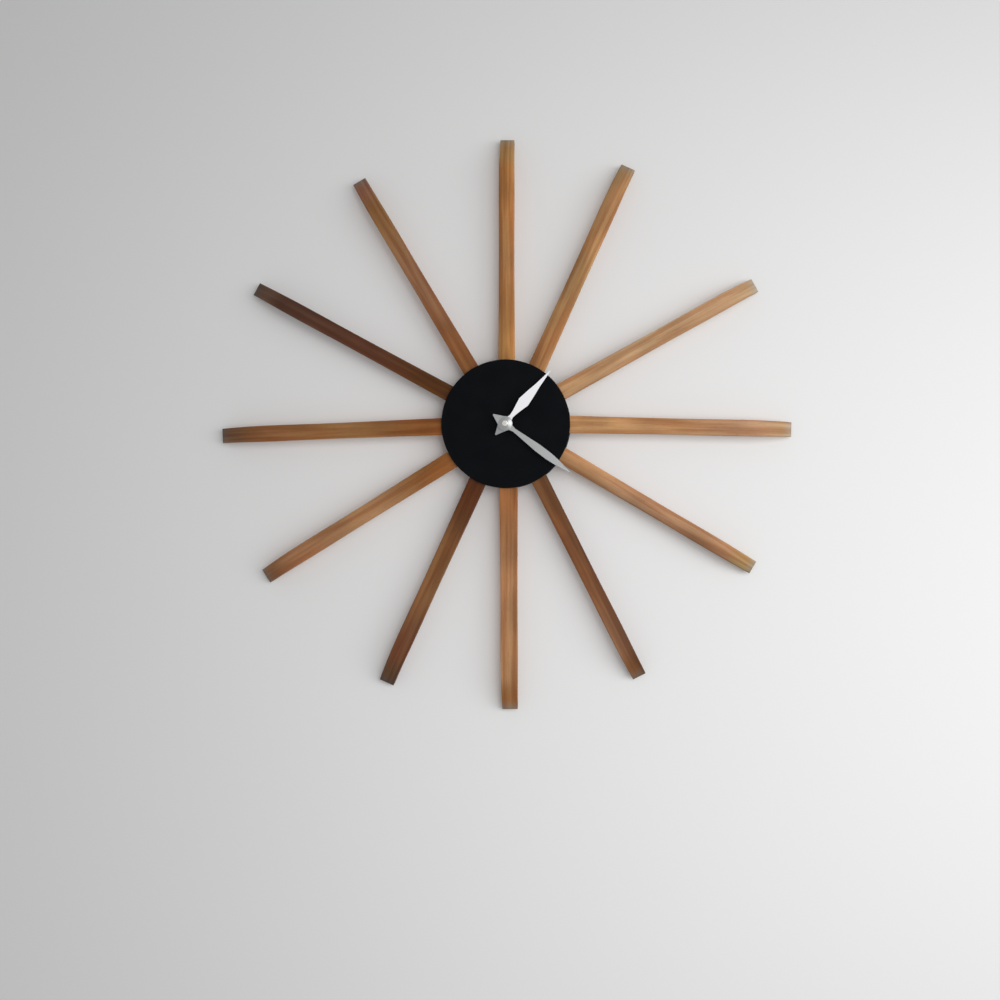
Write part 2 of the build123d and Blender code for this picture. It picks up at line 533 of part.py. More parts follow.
with BuildPart() as case_front:
    slab((-CASE / 2, CASE / 2), (-CASE / 2, CASE / 2), CASE_BACK, CASE_FRONT, CASE_CORNER)
    fillet(case_front.edges().group_by(Axis.Y)[0], CASE_EDGE)
    slab((-INSIDE, INSIDE), (PARTITION_TOP, INSIDE), CASE_BACK, CASE_FLOOR,
         CASE_CORNER - CASE_WALL, Mode.SUBTRACT)
    slab((-INSIDE - COVER_SEAT, INSIDE + COVER_SEAT), (BAY_TOP, INSIDE + COVER_SEAT),
         CASE_BACK, COVER_FRONT, COVER_CORNER, Mode.SUBTRACT)
    # the battery bay: a half-round floor under a straight-sided mouth
    with BuildSketch(Plane.YZ.offset(-INSIDE)) as bay:
        with Locations((BAY_SHIFT - BATTERY_DEPTH, BATTERY_Z)):
            Circle(BAY_R)
        with Locations((-BATTERY_DEPTH / 2, BATTERY_Z)):
            Rectangle(BATTERY_DEPTH - 2 * BAY_SHIFT, 2 * BAY_R)
    extrude(bay.sketch, amount=2 * INSIDE, mode=Mode.SUBTRACT)
    for span in ((-INSIDE, -STRIP_SLOT_X), (STRIP_SLOT_X, INSIDE)):
        slab(span, (BAY_TOP - CASE_WALL, PARTITION_TOP + CASE_WALL), CASE_BACK, STRIP_SLOT_FRONT,
             mode=Mode.SUBTRACT)
    for place in PLATE_POSTS:
        rod(place, MID_PLATE[1], CASE_FLOOR, POST_R)
        rod(place, BRIDGE[1], MID_PLATE[1], POST_WAIST_R)
        rod(place, COVER_FRONT + END_SHAKE, BRIDGE[1], PIN_R)
    for place in STATOR_POSTS:
        rod(place, CORE[1], CASE_FLOOR, POST_R)
        rod(place, STATOR[0] - PIN_PROUD, CORE[1], PIN_R)
    for place in BOARD_POSTS:
        rod(place, BOARD[1], CASE_FLOOR, POST_R)
        rod(place, BOARD[0] - PIN_PROUD, BOARD[1], PIN_R)
    rod(MOTION_AXIS, MID_PLATE[1] + END_SHAKE, CASE_FLOOR, MOTION_POST_R)
    for low, high in (LIFT_X, (-LIFT_X[1], -LIFT_X[0])):
        slab((low, high), (CASE / 2 - LIFT_WALL, CASE / 2), CASE_BACK, LIFT_FRONT, mode=Mode.SUBTRACT)
    rod((0, -CASE / 2), CASE_BACK, THUMB_FRONT, THUMB_R, Mode.SUBTRACT)
    rod(MIDDLE, CASE_FLOOR, CASE_FRONT, BUSH_R, Mode.SUBTRACT)
    rod(SETTING_AXIS, CASE_FLOOR, CASE_FLOOR + BLIND, PIVOT_R + RUNNING, Mode.SUBTRACT)
finish(case_front, "case_front")

with BuildPart() as case_cover:
    seat = INSIDE + COVER_SEAT - RUNNING
    slab((-seat, seat), (BAY_TOP + RUNNING, seat), CASE_BACK, COVER_FRONT, COVER_CORNER - RUNNING)
    rod(SETTING_AXIS, CASE_BACK, COVER_FRONT, SETTING_R + RUNNING, Mode.SUBTRACT)
    for step in range(GRIPS[0]):
        left = step * GRIPS[1] - GRIPS[2]
        slab((left, left + GRIPS[2]), GRIP_SPAN, CASE_BACK, CASE_BACK + GRIPS[3],
             GRIP_CORNER, Mode.SUBTRACT)
    for middle, half_x, half_z in ((SIGN_X, SIGN_ARM, SIGN_LINE), (SIGN_X, SIGN_LINE, SIGN_ARM),
                                   (-SIGN_X, SIGN_ARM, SIGN_LINE)):
        slab((middle - half_x, middle + half_x), (SIGN_Z - half_z, SIGN_Z + half_z),
             CASE_BACK, CASE_BACK + SIGN_DEPTH, mode=Mode.SUBTRACT)
finish(case_cover, "case_cover")

with BuildPart() as train_bridge:
    slab(PLATE_SIDES, (PLATE_LOW, BRIDGE_TOP), *BRIDGE, PLATE_ROUND)
    for place in PLATE_POSTS:
        rod(place, *BRIDGE, PIN_R + RUNNING, Mode.SUBTRACT)
    for place in (MIDDLE, THIRD_AXIS, INTERMEDIATE_AXIS, ROTOR_AXIS):
        rod(place, *BRIDGE, PIVOT_R + RUNNING, Mode.SUBTRACT)
    rod(SETTING_AXIS, *BRIDGE, SETTING_R + RUNNING, Mode.SUBTRACT)
finish(train_bridge, "train_bridge")

with BuildPart() as middle_plate:
    slab(PLATE_SIDES, (PLATE_LOW, MID_PLATE_TOP), *MID_PLATE, PLATE_ROUND)
    for place in PLATE_POSTS:
        rod(place, *MID_PLATE, POST_WAIST_R + RUNNING, Mode.SUBTRACT)
    rod(MIDDLE, *MID_PLATE, MID_PLATE_BORE, Mode.SUBTRACT)
    for place in (THIRD_AXIS, INTERMEDIATE_AXIS, ROTOR_AXIS):
        rod(place, *MID_PLATE, PIVOT_R + RUNNING, Mode.SUBTRACT)
    rod(SETTING_AXIS, *MID_PLATE, SETTING_R + RUNNING, Mode.SUBTRACT)
finish(middle_plate, "middle_plate")

# ---------------------------------------------------------------- going train
intermediate_phase = in_mesh(ROTOR_AXIS, ROTOR_TEETH, ROTOR_PHASE,
                             INTERMEDIATE_AXIS, INTERMEDIATE_TEETH)
second_phase = in_mesh(INTERMEDIATE_AXIS, LEAVES, 0.0, MIDDLE, SECOND_TEETH)
third_phase = in_mesh(MIDDLE, LEAVES, 0.0, THIRD_AXIS, THIRD_TEETH)
centre_phase = in_mesh(THIRD_AXIS, LEAVES, 0.0, MIDDLE, CENTRE_TEETH)

with BuildPart() as rotor_pinion:
    rod(ROTOR_AXIS, PIVOT_BACK, PIVOT_FRONT, PIVOT_R)
    rod(ROTOR_AXIS, SHOULDER_BACK, ROTOR_PINION[0], MAGNET_BORE)
    toothed(ROTOR_AXIS, *ROTOR_PINION, ROTOR_TEETH, ROTOR_MODULE, ROTOR_PHASE)
    rod(ROTOR_AXIS, ROTOR_PINION[1], SHOULDER_FRONT, ROTOR_ARBOR_R)
finish(rotor_pinion, "rotor_pinion")

with BuildPart() as rotor_magnet:
    rod(ROTOR_AXIS, *MAGNET, MAGNET_R)
    rod(ROTOR_AXIS, *MAGNET, MAGNET_BORE, Mode.SUBTRACT)
finish(rotor_magnet, "rotor_magnet")

with BuildPart() as intermediate_wheel:
    rod(INTERMEDIATE_AXIS, PIVOT_BACK, PIVOT_FRONT, PIVOT_R)
    rod(INTERMEDIATE_AXIS, SHOULDER_BACK, SHOULDER_FRONT, ARBOR_R)
    toothed(INTERMEDIATE_AXIS, *INTERMEDIATE_WHEEL, INTERMEDIATE_TEETH, ROTOR_MODULE,
            intermediate_phase)
    toothed(INTERMEDIATE_AXIS, INTERMEDIATE_WHEEL[1], INTERMEDIATE_PINION_END, LEAVES,
            SECOND_MODULE, 0.0)
finish(intermediate_wheel, "intermediate_wheel")

with BuildPart() as seconds_arbor:
    rod(MIDDLE, PIVOT_BACK, SHOULDER_BACK, PIVOT_R)
    rod(MIDDLE, SHOULDER_BACK, SECONDS_END, SECONDS_R)
    chamfer(seconds_arbor.edges().group_by(Axis.Y)[0], SECONDS_CHAMFER)
finish(seconds_arbor, "seconds_arbor")

with BuildPart() as seconds_wheel:
    rod(MIDDLE, SHOULDER_BACK, SECOND_WHEEL[0], SECOND_HUB_R)
    toothed(MIDDLE, *SECOND_WHEEL, SECOND_TEETH, SECOND_MODULE, second_phase)
    toothed(MIDDLE, SECOND_WHEEL[1], SECOND_PINION_END, LEAVES, THIRD_MODULE, 0.0)
    rod(MIDDLE, SHOULDER_BACK, SECOND_PINION_END, SECONDS_R, Mode.SUBTRACT)
finish(seconds_wheel, "seconds_wheel")

with BuildPart() as third_wheel:
    rod(THIRD_AXIS, PIVOT_BACK, PIVOT_FRONT, PIVOT_R)
    rod(THIRD_AXIS, SHOULDER_BACK, SHOULDER_FRONT, ARBOR_R)
    toothed(THIRD_AXIS, *THIRD_WHEEL, THIRD_TEETH, THIRD_MODULE, third_phase)
    toothed(THIRD_AXIS, THIRD_WHEEL[1], THIRD_PINION_END, LEAVES, CENTRE_MODULE, 0.0)
finish(third_wheel, "third_wheel")

with BuildPart() as centre_wheel:
    toothed(MIDDLE, *CENTRE_WHEEL, CENTRE_TEETH, CENTRE_MODULE, centre_phase)
    ring_of_holes(MIDDLE, *CENTRE_WHEEL, *CENTRE_HOLES)
    rod(MIDDLE, *CENTRE_WHEEL, CANNON_R + RUNNING, Mode.SUBTRACT)
finish(centre_wheel, "centre_wheel")

# ---------------------------------------------------------------- motion work and hand setting
motion_phase = in_mesh(MIDDLE, CANNON_TEETH, 0.0, MOTION_AXIS, MOTION_TEETH)
hour_phase = in_mesh(MOTION_AXIS, MOTION_LEAVES, 0.0, MIDDLE, HOUR_TEETH)
setting_phase = in_mesh(MOTION_AXIS, MOTION_TEETH, motion_phase, SETTING_AXIS, CANNON_TEETH)

with BuildPart() as cannon_pinion:
    rod(MIDDLE, CANNON_BACK, SHOULDER, CANNON_R)
    rod(MIDDLE, CLUTCH[1], CANNON_PINION[0], CANNON_COLLAR_R)
    toothed(MIDDLE, *CANNON_PINION, CANNON_TEETH, MOTION_MODULE, 0.0)
    extrude(flatted(SHOULDER, CANNON_R, FLAT_HALF), amount=HAND_NUT_BACK - SHOULDER)
    rod(MIDDLE, HAND_NUT_BACK, HAND_NUT_FRONT - BUSH_CHAMFER, THREAD_R)
    rod(MIDDLE, CANNON_BACK, HAND_NUT_FRONT, SECONDS_R + RUNNING, Mode.SUBTRACT)
finish(cannon_pinion, "cannon_pinion")

with BuildPart() as clutch_spring:
    rod(MIDDLE, *CLUTCH, CLUTCH_R)
    ring_of_holes(MIDDLE, *CLUTCH, *CLUTCH_NOTCHES)
    rod(MIDDLE, *CLUTCH, CANNON_R + RUNNING, Mode.SUBTRACT)
finish(clutch_spring, "clutch_spring")

with BuildPart() as motion_wheel:
    toothed(MOTION_AXIS, *MOTION_WHEEL, MOTION_TEETH, MOTION_MODULE, motion_phase)
    toothed(MOTION_AXIS, MOTION_WHEEL[1], MOTION_PINION_END, MOTION_LEAVES, HOUR_MODULE, 0.0)
    rod(MOTION_AXIS, MOTION_WHEEL[0], MOTION_PINION_END, MOTION_POST_R + RUNNING, Mode.SUBTRACT)
finish(motion_wheel, "motion_wheel")

with BuildPart() as hour_wheel:
    toothed(MIDDLE, *HOUR_WHEEL, HOUR_TEETH, HOUR_MODULE, hour_phase)
    rod(MIDDLE, HOUR_WHEEL[1], PIPE_END, PIPE_R)
    rod(MIDDLE, HOUR_WHEEL[0], PIPE_END, CANNON_R + RUNNING, Mode.SUBTRACT)
finish(hour_wheel, "hour_wheel")

with BuildPart() as setting_arbor:
    rod(SETTING_AXIS, KNOB[0] + KNOB_WEB, CANNON_PINION[0], SETTING_R)
    toothed(SETTING_AXIS, *CANNON_PINION, CANNON_TEETH, MOTION_MODULE, setting_phase)
    rod(SETTING_AXIS, CANNON_PINION[1], CASE_FLOOR - END_SHAKE, SETTING_R)
    rod(SETTING_AXIS, CASE_FLOOR - END_SHAKE, CASE_FLOOR + BLIND - END_SHAKE, PIVOT_R)
finish(setting_arbor, "setting_arbor")

with BuildPart() as setting_knob:
    rod(SETTING_AXIS, *KNOB, KNOB_R)
    ring_of_holes(SETTING_AXIS, *KNOB, *KNOB_GROOVES)
    rod(SETTING_AXIS, KNOB[0] + KNOB_WEB, KNOB[1], SETTING_R, Mode.SUBTRACT)
finish(setting_knob, "setting_knob")

# ---------------------------------------------------------------- stepping motor and circuit
COIL_AT = (-sum(CORE) / 2, STATOR_POSTS[0][1])      # the coil's own axis, as (y, z)


def coil_ring(start, length, outer, inner):
    """Ring round the coil's axis, from x = start, in the part being built."""
    with BuildSketch(Plane.YZ.offset(start)) as section:
        with Locations(COIL_AT):
            Circle(outer)
            Circle(inner, mode=Mode.SUBTRACT)
    extrude(section.sketch, amount=length)


with BuildPart() as stator:
    for leg in LEGS:
        slab(leg, (ROTOR_AXIS[1] - BAR_HALF, LEG_TOP), *STATOR, IRON_CORNER)
    slab((LEGS[0][0], LEGS[1][1]), (ROTOR_AXIS[1] - BAR_HALF, ROTOR_AXIS[1] + BAR_HALF),
         *STATOR, IRON_CORNER)
    rod(ROTOR_AXIS, *STATOR, MAGNET_R + ROTOR_ROOM, Mode.SUBTRACT)
    for place in STATOR_POSTS:
        rod(place, *STATOR, PIN_R + RUNNING, Mode.SUBTRACT)
finish(stator, "stator")

with BuildPart() as coil_core:
    slab((LEGS[0][0], LEGS[1][1]), (COIL_AT[1] - CORE_HALF, COIL_AT[1] + CORE_HALF), *CORE)
    for leg in LEGS:
        slab(leg, (COIL_AT[1] - LUG_HALF, COIL_AT[1] + LUG_HALF), *CORE, IRON_CORNER)
    for place in STATOR_POSTS:
        rod(place, *CORE, PIN_R + RUNNING, Mode.SUBTRACT)
finish(coil_core, "coil_core")

with BuildPart() as coil_bobbin:
    with BuildSketch(Plane.YZ.offset(BOBBIN[0])):
        with Locations(COIL_AT):
            Circle(TUBE_R)
            Rectangle(*TUBE_HOLE, mode=Mode.SUBTRACT)
    extrude(amount=BOBBIN[1] - BOBBIN[0])
    for start in (BOBBIN[0], BOBBIN[1] - FLANGE_THICK):
        coil_ring(start, FLANGE_THICK, FLANGE_R, TUBE_R)
finish(coil_bobbin, "coil_bobbin")

with BuildPart() as coil_winding:
    coil_ring(BOBBIN[0] + FLANGE_THICK, BOBBIN[1] - BOBBIN[0] - 2 * FLANGE_THICK, WINDING_R, TUBE_R)
finish(coil_winding, "coil_winding")

with BuildPart() as circuit_board:
    slab(BOARD_X, BOARD_Z, *BOARD)
    for place in BOARD_POSTS:
        rod(place, *BOARD, PIN_R + RUNNING, Mode.SUBTRACT)
finish(circuit_board, "circuit_board")

with BuildPart() as clock_chip:
    rod(CHIP_PLACE, BOARD[1], BOARD[1] + CHIP_HEIGHT, CHIP_R)
    fillet(clock_chip.edges().group_by(Axis.Y)[0], CHIP_ROUND)
finish(clock_chip, "clock_chip")

with BuildPart() as quartz_crystal:
    with BuildSketch(Plane.YZ.offset(CRYSTAL_PLACE[0])):
        with Locations((-BOARD[1] - CRYSTAL_R, CRYSTAL_PLACE[1])):
            Circle(CRYSTAL_R)
    extrude(amount=CRYSTAL_LENGTH)
finish(quartz_crystal, "quartz_crystal")

# ---------------------------------------------------------------- battery and its contacts
with BuildPart() as battery:
    with BuildSketch(Plane.YZ.offset(BATTERY_X[0])):
        with Locations((-BATTERY_DEPTH, BATTERY_Z)):
            Circle(BATTERY_R)
    extrude(amount=BATTERY_X[1] - BATTERY_X[0])
    fillet(battery.edges(), BATTERY_EDGE)
    with BuildSketch(Plane.YZ.offset(BATTERY_X[1])):
        with Locations((-BATTERY_DEPTH, BATTERY_Z)):
            Circle(NUB_R)
    extrude(amount=STRIP_X - STRIP_THICK / 2 - BATTERY_X[1])
finish(battery, "battery")

with BuildPart() as positive_contact:
    with BuildSketch(facing(STRIP[0])):
        with BuildLine():
            Polyline((STRIP_X, POSITIVE_LOW), (STRIP_X, STRIP_TOP), (BOARD_X[1] - POSITIVE_LAP, STRIP_TOP))
        trace(line_width=STRIP_THICK)
    extrude(amount=STRIP[1] - STRIP[0])
finish(positive_contact, "positive_contact")

with BuildPart() as negative_contact:
    with BuildSketch(facing(STRIP[0])):
        with BuildLine():
            Polyline(*NEGATIVE_RUN)
        trace(line_width=STRIP_THICK)
    extrude(amount=STRIP[1] - STRIP[0])
finish(negative_contact, "negative_contact")
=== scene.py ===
"""Looks of the sunburst wall clock: oiled teak slats, a matt black hub, two leaf hands, a quartz movement.

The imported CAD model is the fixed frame. Everything is in metres, with +Z up, +X to the right as seen from
the room and the wall at y = 0, so the clock faces -Y. A heading runs clockwise from twelve. Sizes that the
frame doesn't give are fields of the classes, in millimetres, and MM turns them into metres.
"""

import logging
from collections.abc import Callable, Iterator
from contextlib import contextmanager
from dataclasses import dataclass, field
from enum import Enum
from functools import partial
from itertools import pairwise
from math import atan2, cos, hypot, pi, radians, sin

import bmesh
import bpy
from mathutils import Matrix, Vector


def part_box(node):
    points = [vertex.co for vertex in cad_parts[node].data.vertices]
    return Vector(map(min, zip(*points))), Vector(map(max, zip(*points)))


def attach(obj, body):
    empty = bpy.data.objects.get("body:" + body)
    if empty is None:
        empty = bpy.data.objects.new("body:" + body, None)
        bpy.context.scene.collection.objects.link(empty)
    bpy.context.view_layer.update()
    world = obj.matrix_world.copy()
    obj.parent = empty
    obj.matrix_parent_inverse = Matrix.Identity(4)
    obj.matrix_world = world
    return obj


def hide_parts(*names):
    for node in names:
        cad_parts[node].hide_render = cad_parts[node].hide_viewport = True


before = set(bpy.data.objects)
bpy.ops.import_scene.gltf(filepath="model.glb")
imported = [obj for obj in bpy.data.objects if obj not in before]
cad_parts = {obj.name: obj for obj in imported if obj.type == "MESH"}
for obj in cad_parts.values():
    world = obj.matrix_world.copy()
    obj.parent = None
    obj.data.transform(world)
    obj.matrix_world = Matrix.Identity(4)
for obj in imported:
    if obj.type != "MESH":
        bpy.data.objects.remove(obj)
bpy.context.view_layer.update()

MM = 0.001
log = logging.getLogger("clock")

Edge = bmesh.types.BMEdge
Node = bpy.types.Node
Piece = bpy.types.Object
Socket = bpy.types.NodeSocket
Tree = bpy.types.NodeTree
Pair = tuple[float, float]
Triple = tuple[float, float, float]
Profile = tuple[Pair, ...]
Value = float | tuple[float, ...] | Socket


# ---------------- colours and nodes
def linear(colour: str) -> tuple[float, float, float, float]:
    """Turn an sRGB hex colour into linear RGBA.

    Args:
        colour: six hex digits with a leading hash.

    Returns:
        The linear red, green, blue and an alpha of one.
    """
    channels = [int(colour[start:start + 2], 16) / 255 for start in (1, 3, 5)]
    red, green, blue = (c / 12.92 if c <= 0.04045 else ((c + 0.055) / 1.055) ** 2.4 for c in channels)
    return red, green, blue, 1.0


def add_node(tree: Tree, kind: str, inputs: dict[str | int, Value] | None = None, **settings: object) -> Node:
    """Add a node with its settings and links.

    Args:
        tree: the node tree that gets it.
        kind: the node's type name.
        inputs: value or incoming socket for each input, by name or number.
        **settings: the node's own properties.

    Returns:
        The new node.
    """
    node = tree.nodes.new(kind)
    for name, value in settings.items():
        setattr(node, name, value)
    for place, value in (inputs or {}).items():
        if isinstance(value, Socket):
            tree.links.new(value, node.inputs[place])
        else:
            node.inputs[place].default_value = value
    return node


def maths(tree: Tree, operation: str, first: Value, second: Value = 0.0) -> Socket:
    """Return the result of a maths node."""
    return add_node(tree, "ShaderNodeMath", {0: first, 1: second}, operation=operation).outputs["Value"]


def ramp(tree: Tree, source: Socket, low: float, high: float, first: float = 0.0, last: float = 1.0,
         ease: str = "LINEAR") -> Socket:
    """Stretch low..high of a value to first..last."""
    ends = {"From Min": low, "From Max": high, "To Min": first, "To Max": last}
    return add_node(tree, "ShaderNodeMapRange", {"Value": source, **ends},
                    interpolation_type=ease).outputs["Result"]


def blend(tree: Tree, share: Socket, first: Value, second: Value, kind: str = "MIX") -> Socket:
    """Mix two colours by the share of the second."""
    return add_node(tree, "ShaderNodeMix", {"Factor": share, 6: first, 7: second}, data_type="RGBA",
                    blend_type=kind).outputs[2]


def grain(tree: Tree, place: Socket, size: Triple, detail: float, twist: float = 0.0) -> Socket:
    """Return noise whose features have that size in millimetres along each axis."""
    scaled = add_node(tree, "ShaderNodeMapping",
                      {"Vector": place, "Scale": tuple(1 / (length * MM) for length in size)})
    return add_node(tree, "ShaderNodeTexNoise", {"Vector": scaled.outputs["Vector"], "Scale": 1.0,
                                                 "Detail": detail, "Distortion": twist}).outputs["Fac"]


# ---------------- finishes
NOISE = (0.3, 0.7)                  # between which nearly all of a noise lies
RED_STREAK = "#e4d2c6"              # what the darker streaks of teak do to its tone
TONE_TURNS = ((0.080, 0.170), (0.170, 0.262), (0.264, 0.288))       # where a board's tone turns to the next
GREY_END = {"Hue": 0.512, "Saturation": 0.62, "Value": 0.92}        # what dried oil does near the end grain
END_GRAIN = (0.289, 0.303)          # where along a board that begins, and from where it is full
PAINTED_LIGHT_ACROSS = (-0.0100, 0.0100)         # painted light: across a board, over what breadth it turns from the shaded side to the lit side
WORN_EDGE = (0.0066, 0.0080)        # how far from a board's middle its edges are worn


@dataclass(frozen=True)
class Finish:
    """A surface: what it is and how it was worked. Its material is made once and then shared."""

    name: str

    def material(self) -> bpy.types.Material:
        """Look up the finish's material, and make it on first use.

        Returns:
            The material that all pieces with this finish share.
        """
        known = bpy.data.materials.get(self.name)
        if known is not None:
            return known
        material = bpy.data.materials.new(self.name)
        material.use_nodes = True
        tree = material.node_tree
        tree.nodes.clear()
        shader = add_node(tree, "ShaderNodeBsdfPrincipled")
        add_node(tree, "ShaderNodeOutputMaterial", {"Surface": shader.outputs["BSDF"]})
        self.shade(tree, shader)
        return material

    def shade(self, tree: Tree, shader: Node) -> None:
        """Add the finish's own nodes.

        Args:
            tree: the material's node tree.
            shader: its Principled shader.
        """
        raise NotImplementedError

    def noise(self, tree: Tree, size: float, detail: float, roughness: float = 0.5) -> Socket:
        """Return noise that has features of a size in millimetres and is fixed to the piece."""
        place = add_node(tree, "ShaderNodeTexCoord").outputs["Object"]
        return add_node(tree, "ShaderNodeTexNoise", {"Vector": place, "Scale": 1 / (size * MM),
                                                     "Detail": detail, "Roughness": roughness}).outputs["Fac"]

    def vary_gloss(self, tree: Tree, shader: Node, noise: Socket, roughness: Pair) -> None:
        """Let a noise set the roughness, from the one value to the other."""
        tree.links.new(ramp(tree, noise, *NOISE, *roughness), shader.inputs["Roughness"])

    def mix_colours(self, tree: Tree, shader: Node, share: Socket, first: str, second: str) -> None:
        """Mix the base colour from two by the share of the second."""
        tree.links.new(blend(tree, share, linear(first), linear(second)), shader.inputs["Base Color"])

    def bump(self, tree: Tree, shader: Node, height: Socket, depth: float, strength: float) -> None:
        """Raise the surface where a pattern is high, by a depth in millimetres."""
        node = add_node(tree, "ShaderNodeBump",
                        {"Height": height, "Distance": depth * MM, "Strength": strength})
        tree.links.new(node.outputs["Normal"], shader.inputs["Normal"])


@dataclass(frozen=True)
class OiledTeak(Finish):
    """Teak, sawn thin, planed and rubbed with oil.

    Golden to red brown, with broad soft streaks, finer growth lines and short open pores that all run with
    the board. Its tone changes slowly along the board. Painted light makes one side of the board paler than
    the other, as the light falls on it. The oil leaves a soft satin, worn a little paler along the edges, and
    it has dried greyer in the end grain. The pattern is solid and reads the board's own straightened place,
    so it follows the bend.
    """

    tones: tuple[str, str, str, str]            # at the hub, half-way, near the tip and at its end
    painted_light_lean: float                     # painted light: how much paler its right side is than its middle, as a share, as the light falls on it
    seed: float

    def shade(self, tree: Tree, shader: Node) -> None:
        """Add the tone along the board, its streaks, pores and edges."""
        place = add_node(tree, "ShaderNodeAttribute", attribute_name="board").outputs["Vector"]
        sides = add_node(tree, "ShaderNodeSeparateXYZ", {"Vector": place}).outputs
        across, along = sides["X"], sides["Z"]
        shifted = add_node(tree, "ShaderNodeVectorMath",
                           {0: place, 1: (self.seed, self.seed * 0.7, self.seed * 1.3)},
                           operation="ADD").outputs["Vector"]
        pattern = partial(grain, tree, shifted)
        turn = partial(ramp, tree, ease="SMOOTHSTEP")
        times = partial(maths, tree, "MULTIPLY")

        streaks = pattern((5.4, 7.0, 105.0), 1.0, 0.3)          # heart and sap, in broad soft bands
        lines = pattern((1.8, 2.4, 120.0), 2.0, 0.2)            # growth lines
        fibres = pattern((0.5, 0.7, 20.0), 2.0)                 # fine streaks
        pores = pattern((0.28, 0.35, 5.0), 1.0)                 # open pores, drawn twice their real width
        patches = pattern((30.0, 30.0, 46.0), 1.0)              # slow change along the board

        wood: Value = linear(self.tones[0])
        for stretch, colour in zip(TONE_TURNS, self.tones[1:]):
            wood = blend(tree, turn(along, *stretch), wood, linear(colour))
        wood = blend(tree, turn(streaks, 0.34, 0.66), wood, linear(RED_STREAK), "MULTIPLY")
        wood = add_node(tree, "ShaderNodeHueSaturation",
                        {"Fac": turn(along, *END_GRAIN), "Color": wood, **GREY_END}).outputs["Color"]

        tone = times(turn(patches, *NOISE, 0.97, 1.29), turn(lines, 0.32, 0.68, 0.93, 1.06))
        for factor in (turn(fibres, *NOISE, 0.94, 1.05), turn(pores, 0.60, 0.72, 1.0, 0.80),
                       # painted light: one side of the board paler than the other, as the light falls on it
                       turn(across, *PAINTED_LIGHT_ACROSS, 1.0 - self.painted_light_lean, 1.0 + self.painted_light_lean),
                       turn(maths(tree, "ABSOLUTE", across), *WORN_EDGE, 1.0, 1.10)):
            tone = times(tone, factor)
        dyed = add_node(tree, "ShaderNodeVectorMath", {0: wood, "Scale": tone}, operation="SCALE")
        tree.links.new(dyed.outputs["Vector"], shader.inputs["Base Color"])
        gloss = times(turn(fibres, *NOISE, 0.56, 0.46), turn(along, *END_GRAIN, 1.0, 1.5))
        tree.links.new(gloss, shader.inputs["Roughness"])
        shader.inputs["IOR"].default_value = 1.47
        shader.inputs["Specular IOR Level"].default_value = 0.15
        relief = times(turn(pores, 0.58, 0.72, 1.0, 0.0), turn(fibres, *NOISE, 0.86, 1.0))
        self.bump(tree, shader, relief, 0.05, 0.6)


@dataclass(frozen=True)
class RolledPaint(Finish):
    """Water-based matt paint, put on plywood with a foam roller.

    Nearly black, with no mirror to it: only a faint stipple from the roller and slightly uneven sheen.
    """

    colour: str = "#08090c"
    high: str = "#0c0e11"
    stipple: float = 0.9            # spacing of the roller's stipple, in millimetres
    cloud: float = 26.0             # and of the patches in its sheen
    sheen: Pair = (0.62, 0.80)      # roughness from patch to patch

    def shade(self, tree: Tree, shader: Node) -> None:
        """Add the stipple and a slow change of sheen."""
        stipple = self.noise(tree, self.stipple, 3.0, 0.6)
        self.vary_gloss(tree, shader, self.noise(tree, self.cloud, 2.0), self.sheen)
        self.mix_colours(tree, shader, stipple, self.colour, self.high)
        shader.inputs["Specular IOR Level"].default_value = 0.045
        self.bump(tree, shader, stipple, 0.05, 0.6)


@dataclass(frozen=True)
class SprayedLacquer(Finish):
    """Sheet aluminium, stamped and sprayed with satin lacquer: smooth, even, with a soft highlight.

    A lacquer full of aluminium flake mirrors the room softly, so its flat faces look grey and the flanks
    that face the light look nearly white.
    """

    colour: str
    roughness: float = 0.32
    flake: float = 0.0              # share of the lacquer that is metal flake
    peel: float = 0.8               # spacing of the spray's orange peel, in millimetres

    def shade(self, tree: Tree, shader: Node) -> None:
        """Add the spray's faint orange peel."""
        shader.inputs["Base Color"].default_value = linear(self.colour)
        shader.inputs["Roughness"].default_value = self.roughness
        shader.inputs["Metallic"].default_value = self.flake
        self.bump(tree, shader, self.noise(tree, self.peel, 1.0), 0.004, 0.5)


@dataclass(frozen=True)
class TailedLacquer(SprayedLacquer):
    """The same lacquer, turned greyer on a hand's tail, behind its hub."""

    tail: str = "#8e9092"
    node: str = "hour_hand"         # the hand, which points up and to the right
    greyer_behind: Pair = (4.0, 7.0)        # how far behind the axis it turns greyer, in millimetres

    def shade(self, tree: Tree, shader: Node) -> None:
        """Turn the colour greyer behind the hand's hub."""
        super().shade(tree, shader)
        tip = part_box(self.node)[1]
        way = Vector((tip.x, 0.0, tip.z)).normalized()
        place = add_node(tree, "ShaderNodeTexCoord").outputs["Object"]
        along = add_node(tree, "ShaderNodeVectorMath", {0: place, 1: tuple(way)}, operation="DOT_PRODUCT")
        start, end = self.greyer_behind
        behind = ramp(tree, along.outputs["Value"], -start * MM, -end * MM)
        self.mix_colours(tree, shader, behind, self.colour, self.tail)


class Tooling(Enum):
    """How a metal's surface was worked, which sets the direction of its fine lines."""

    TURNED = "rings round the hands' axis"
    ROLLED = "long lines along X"
    TUMBLED = "no direction"


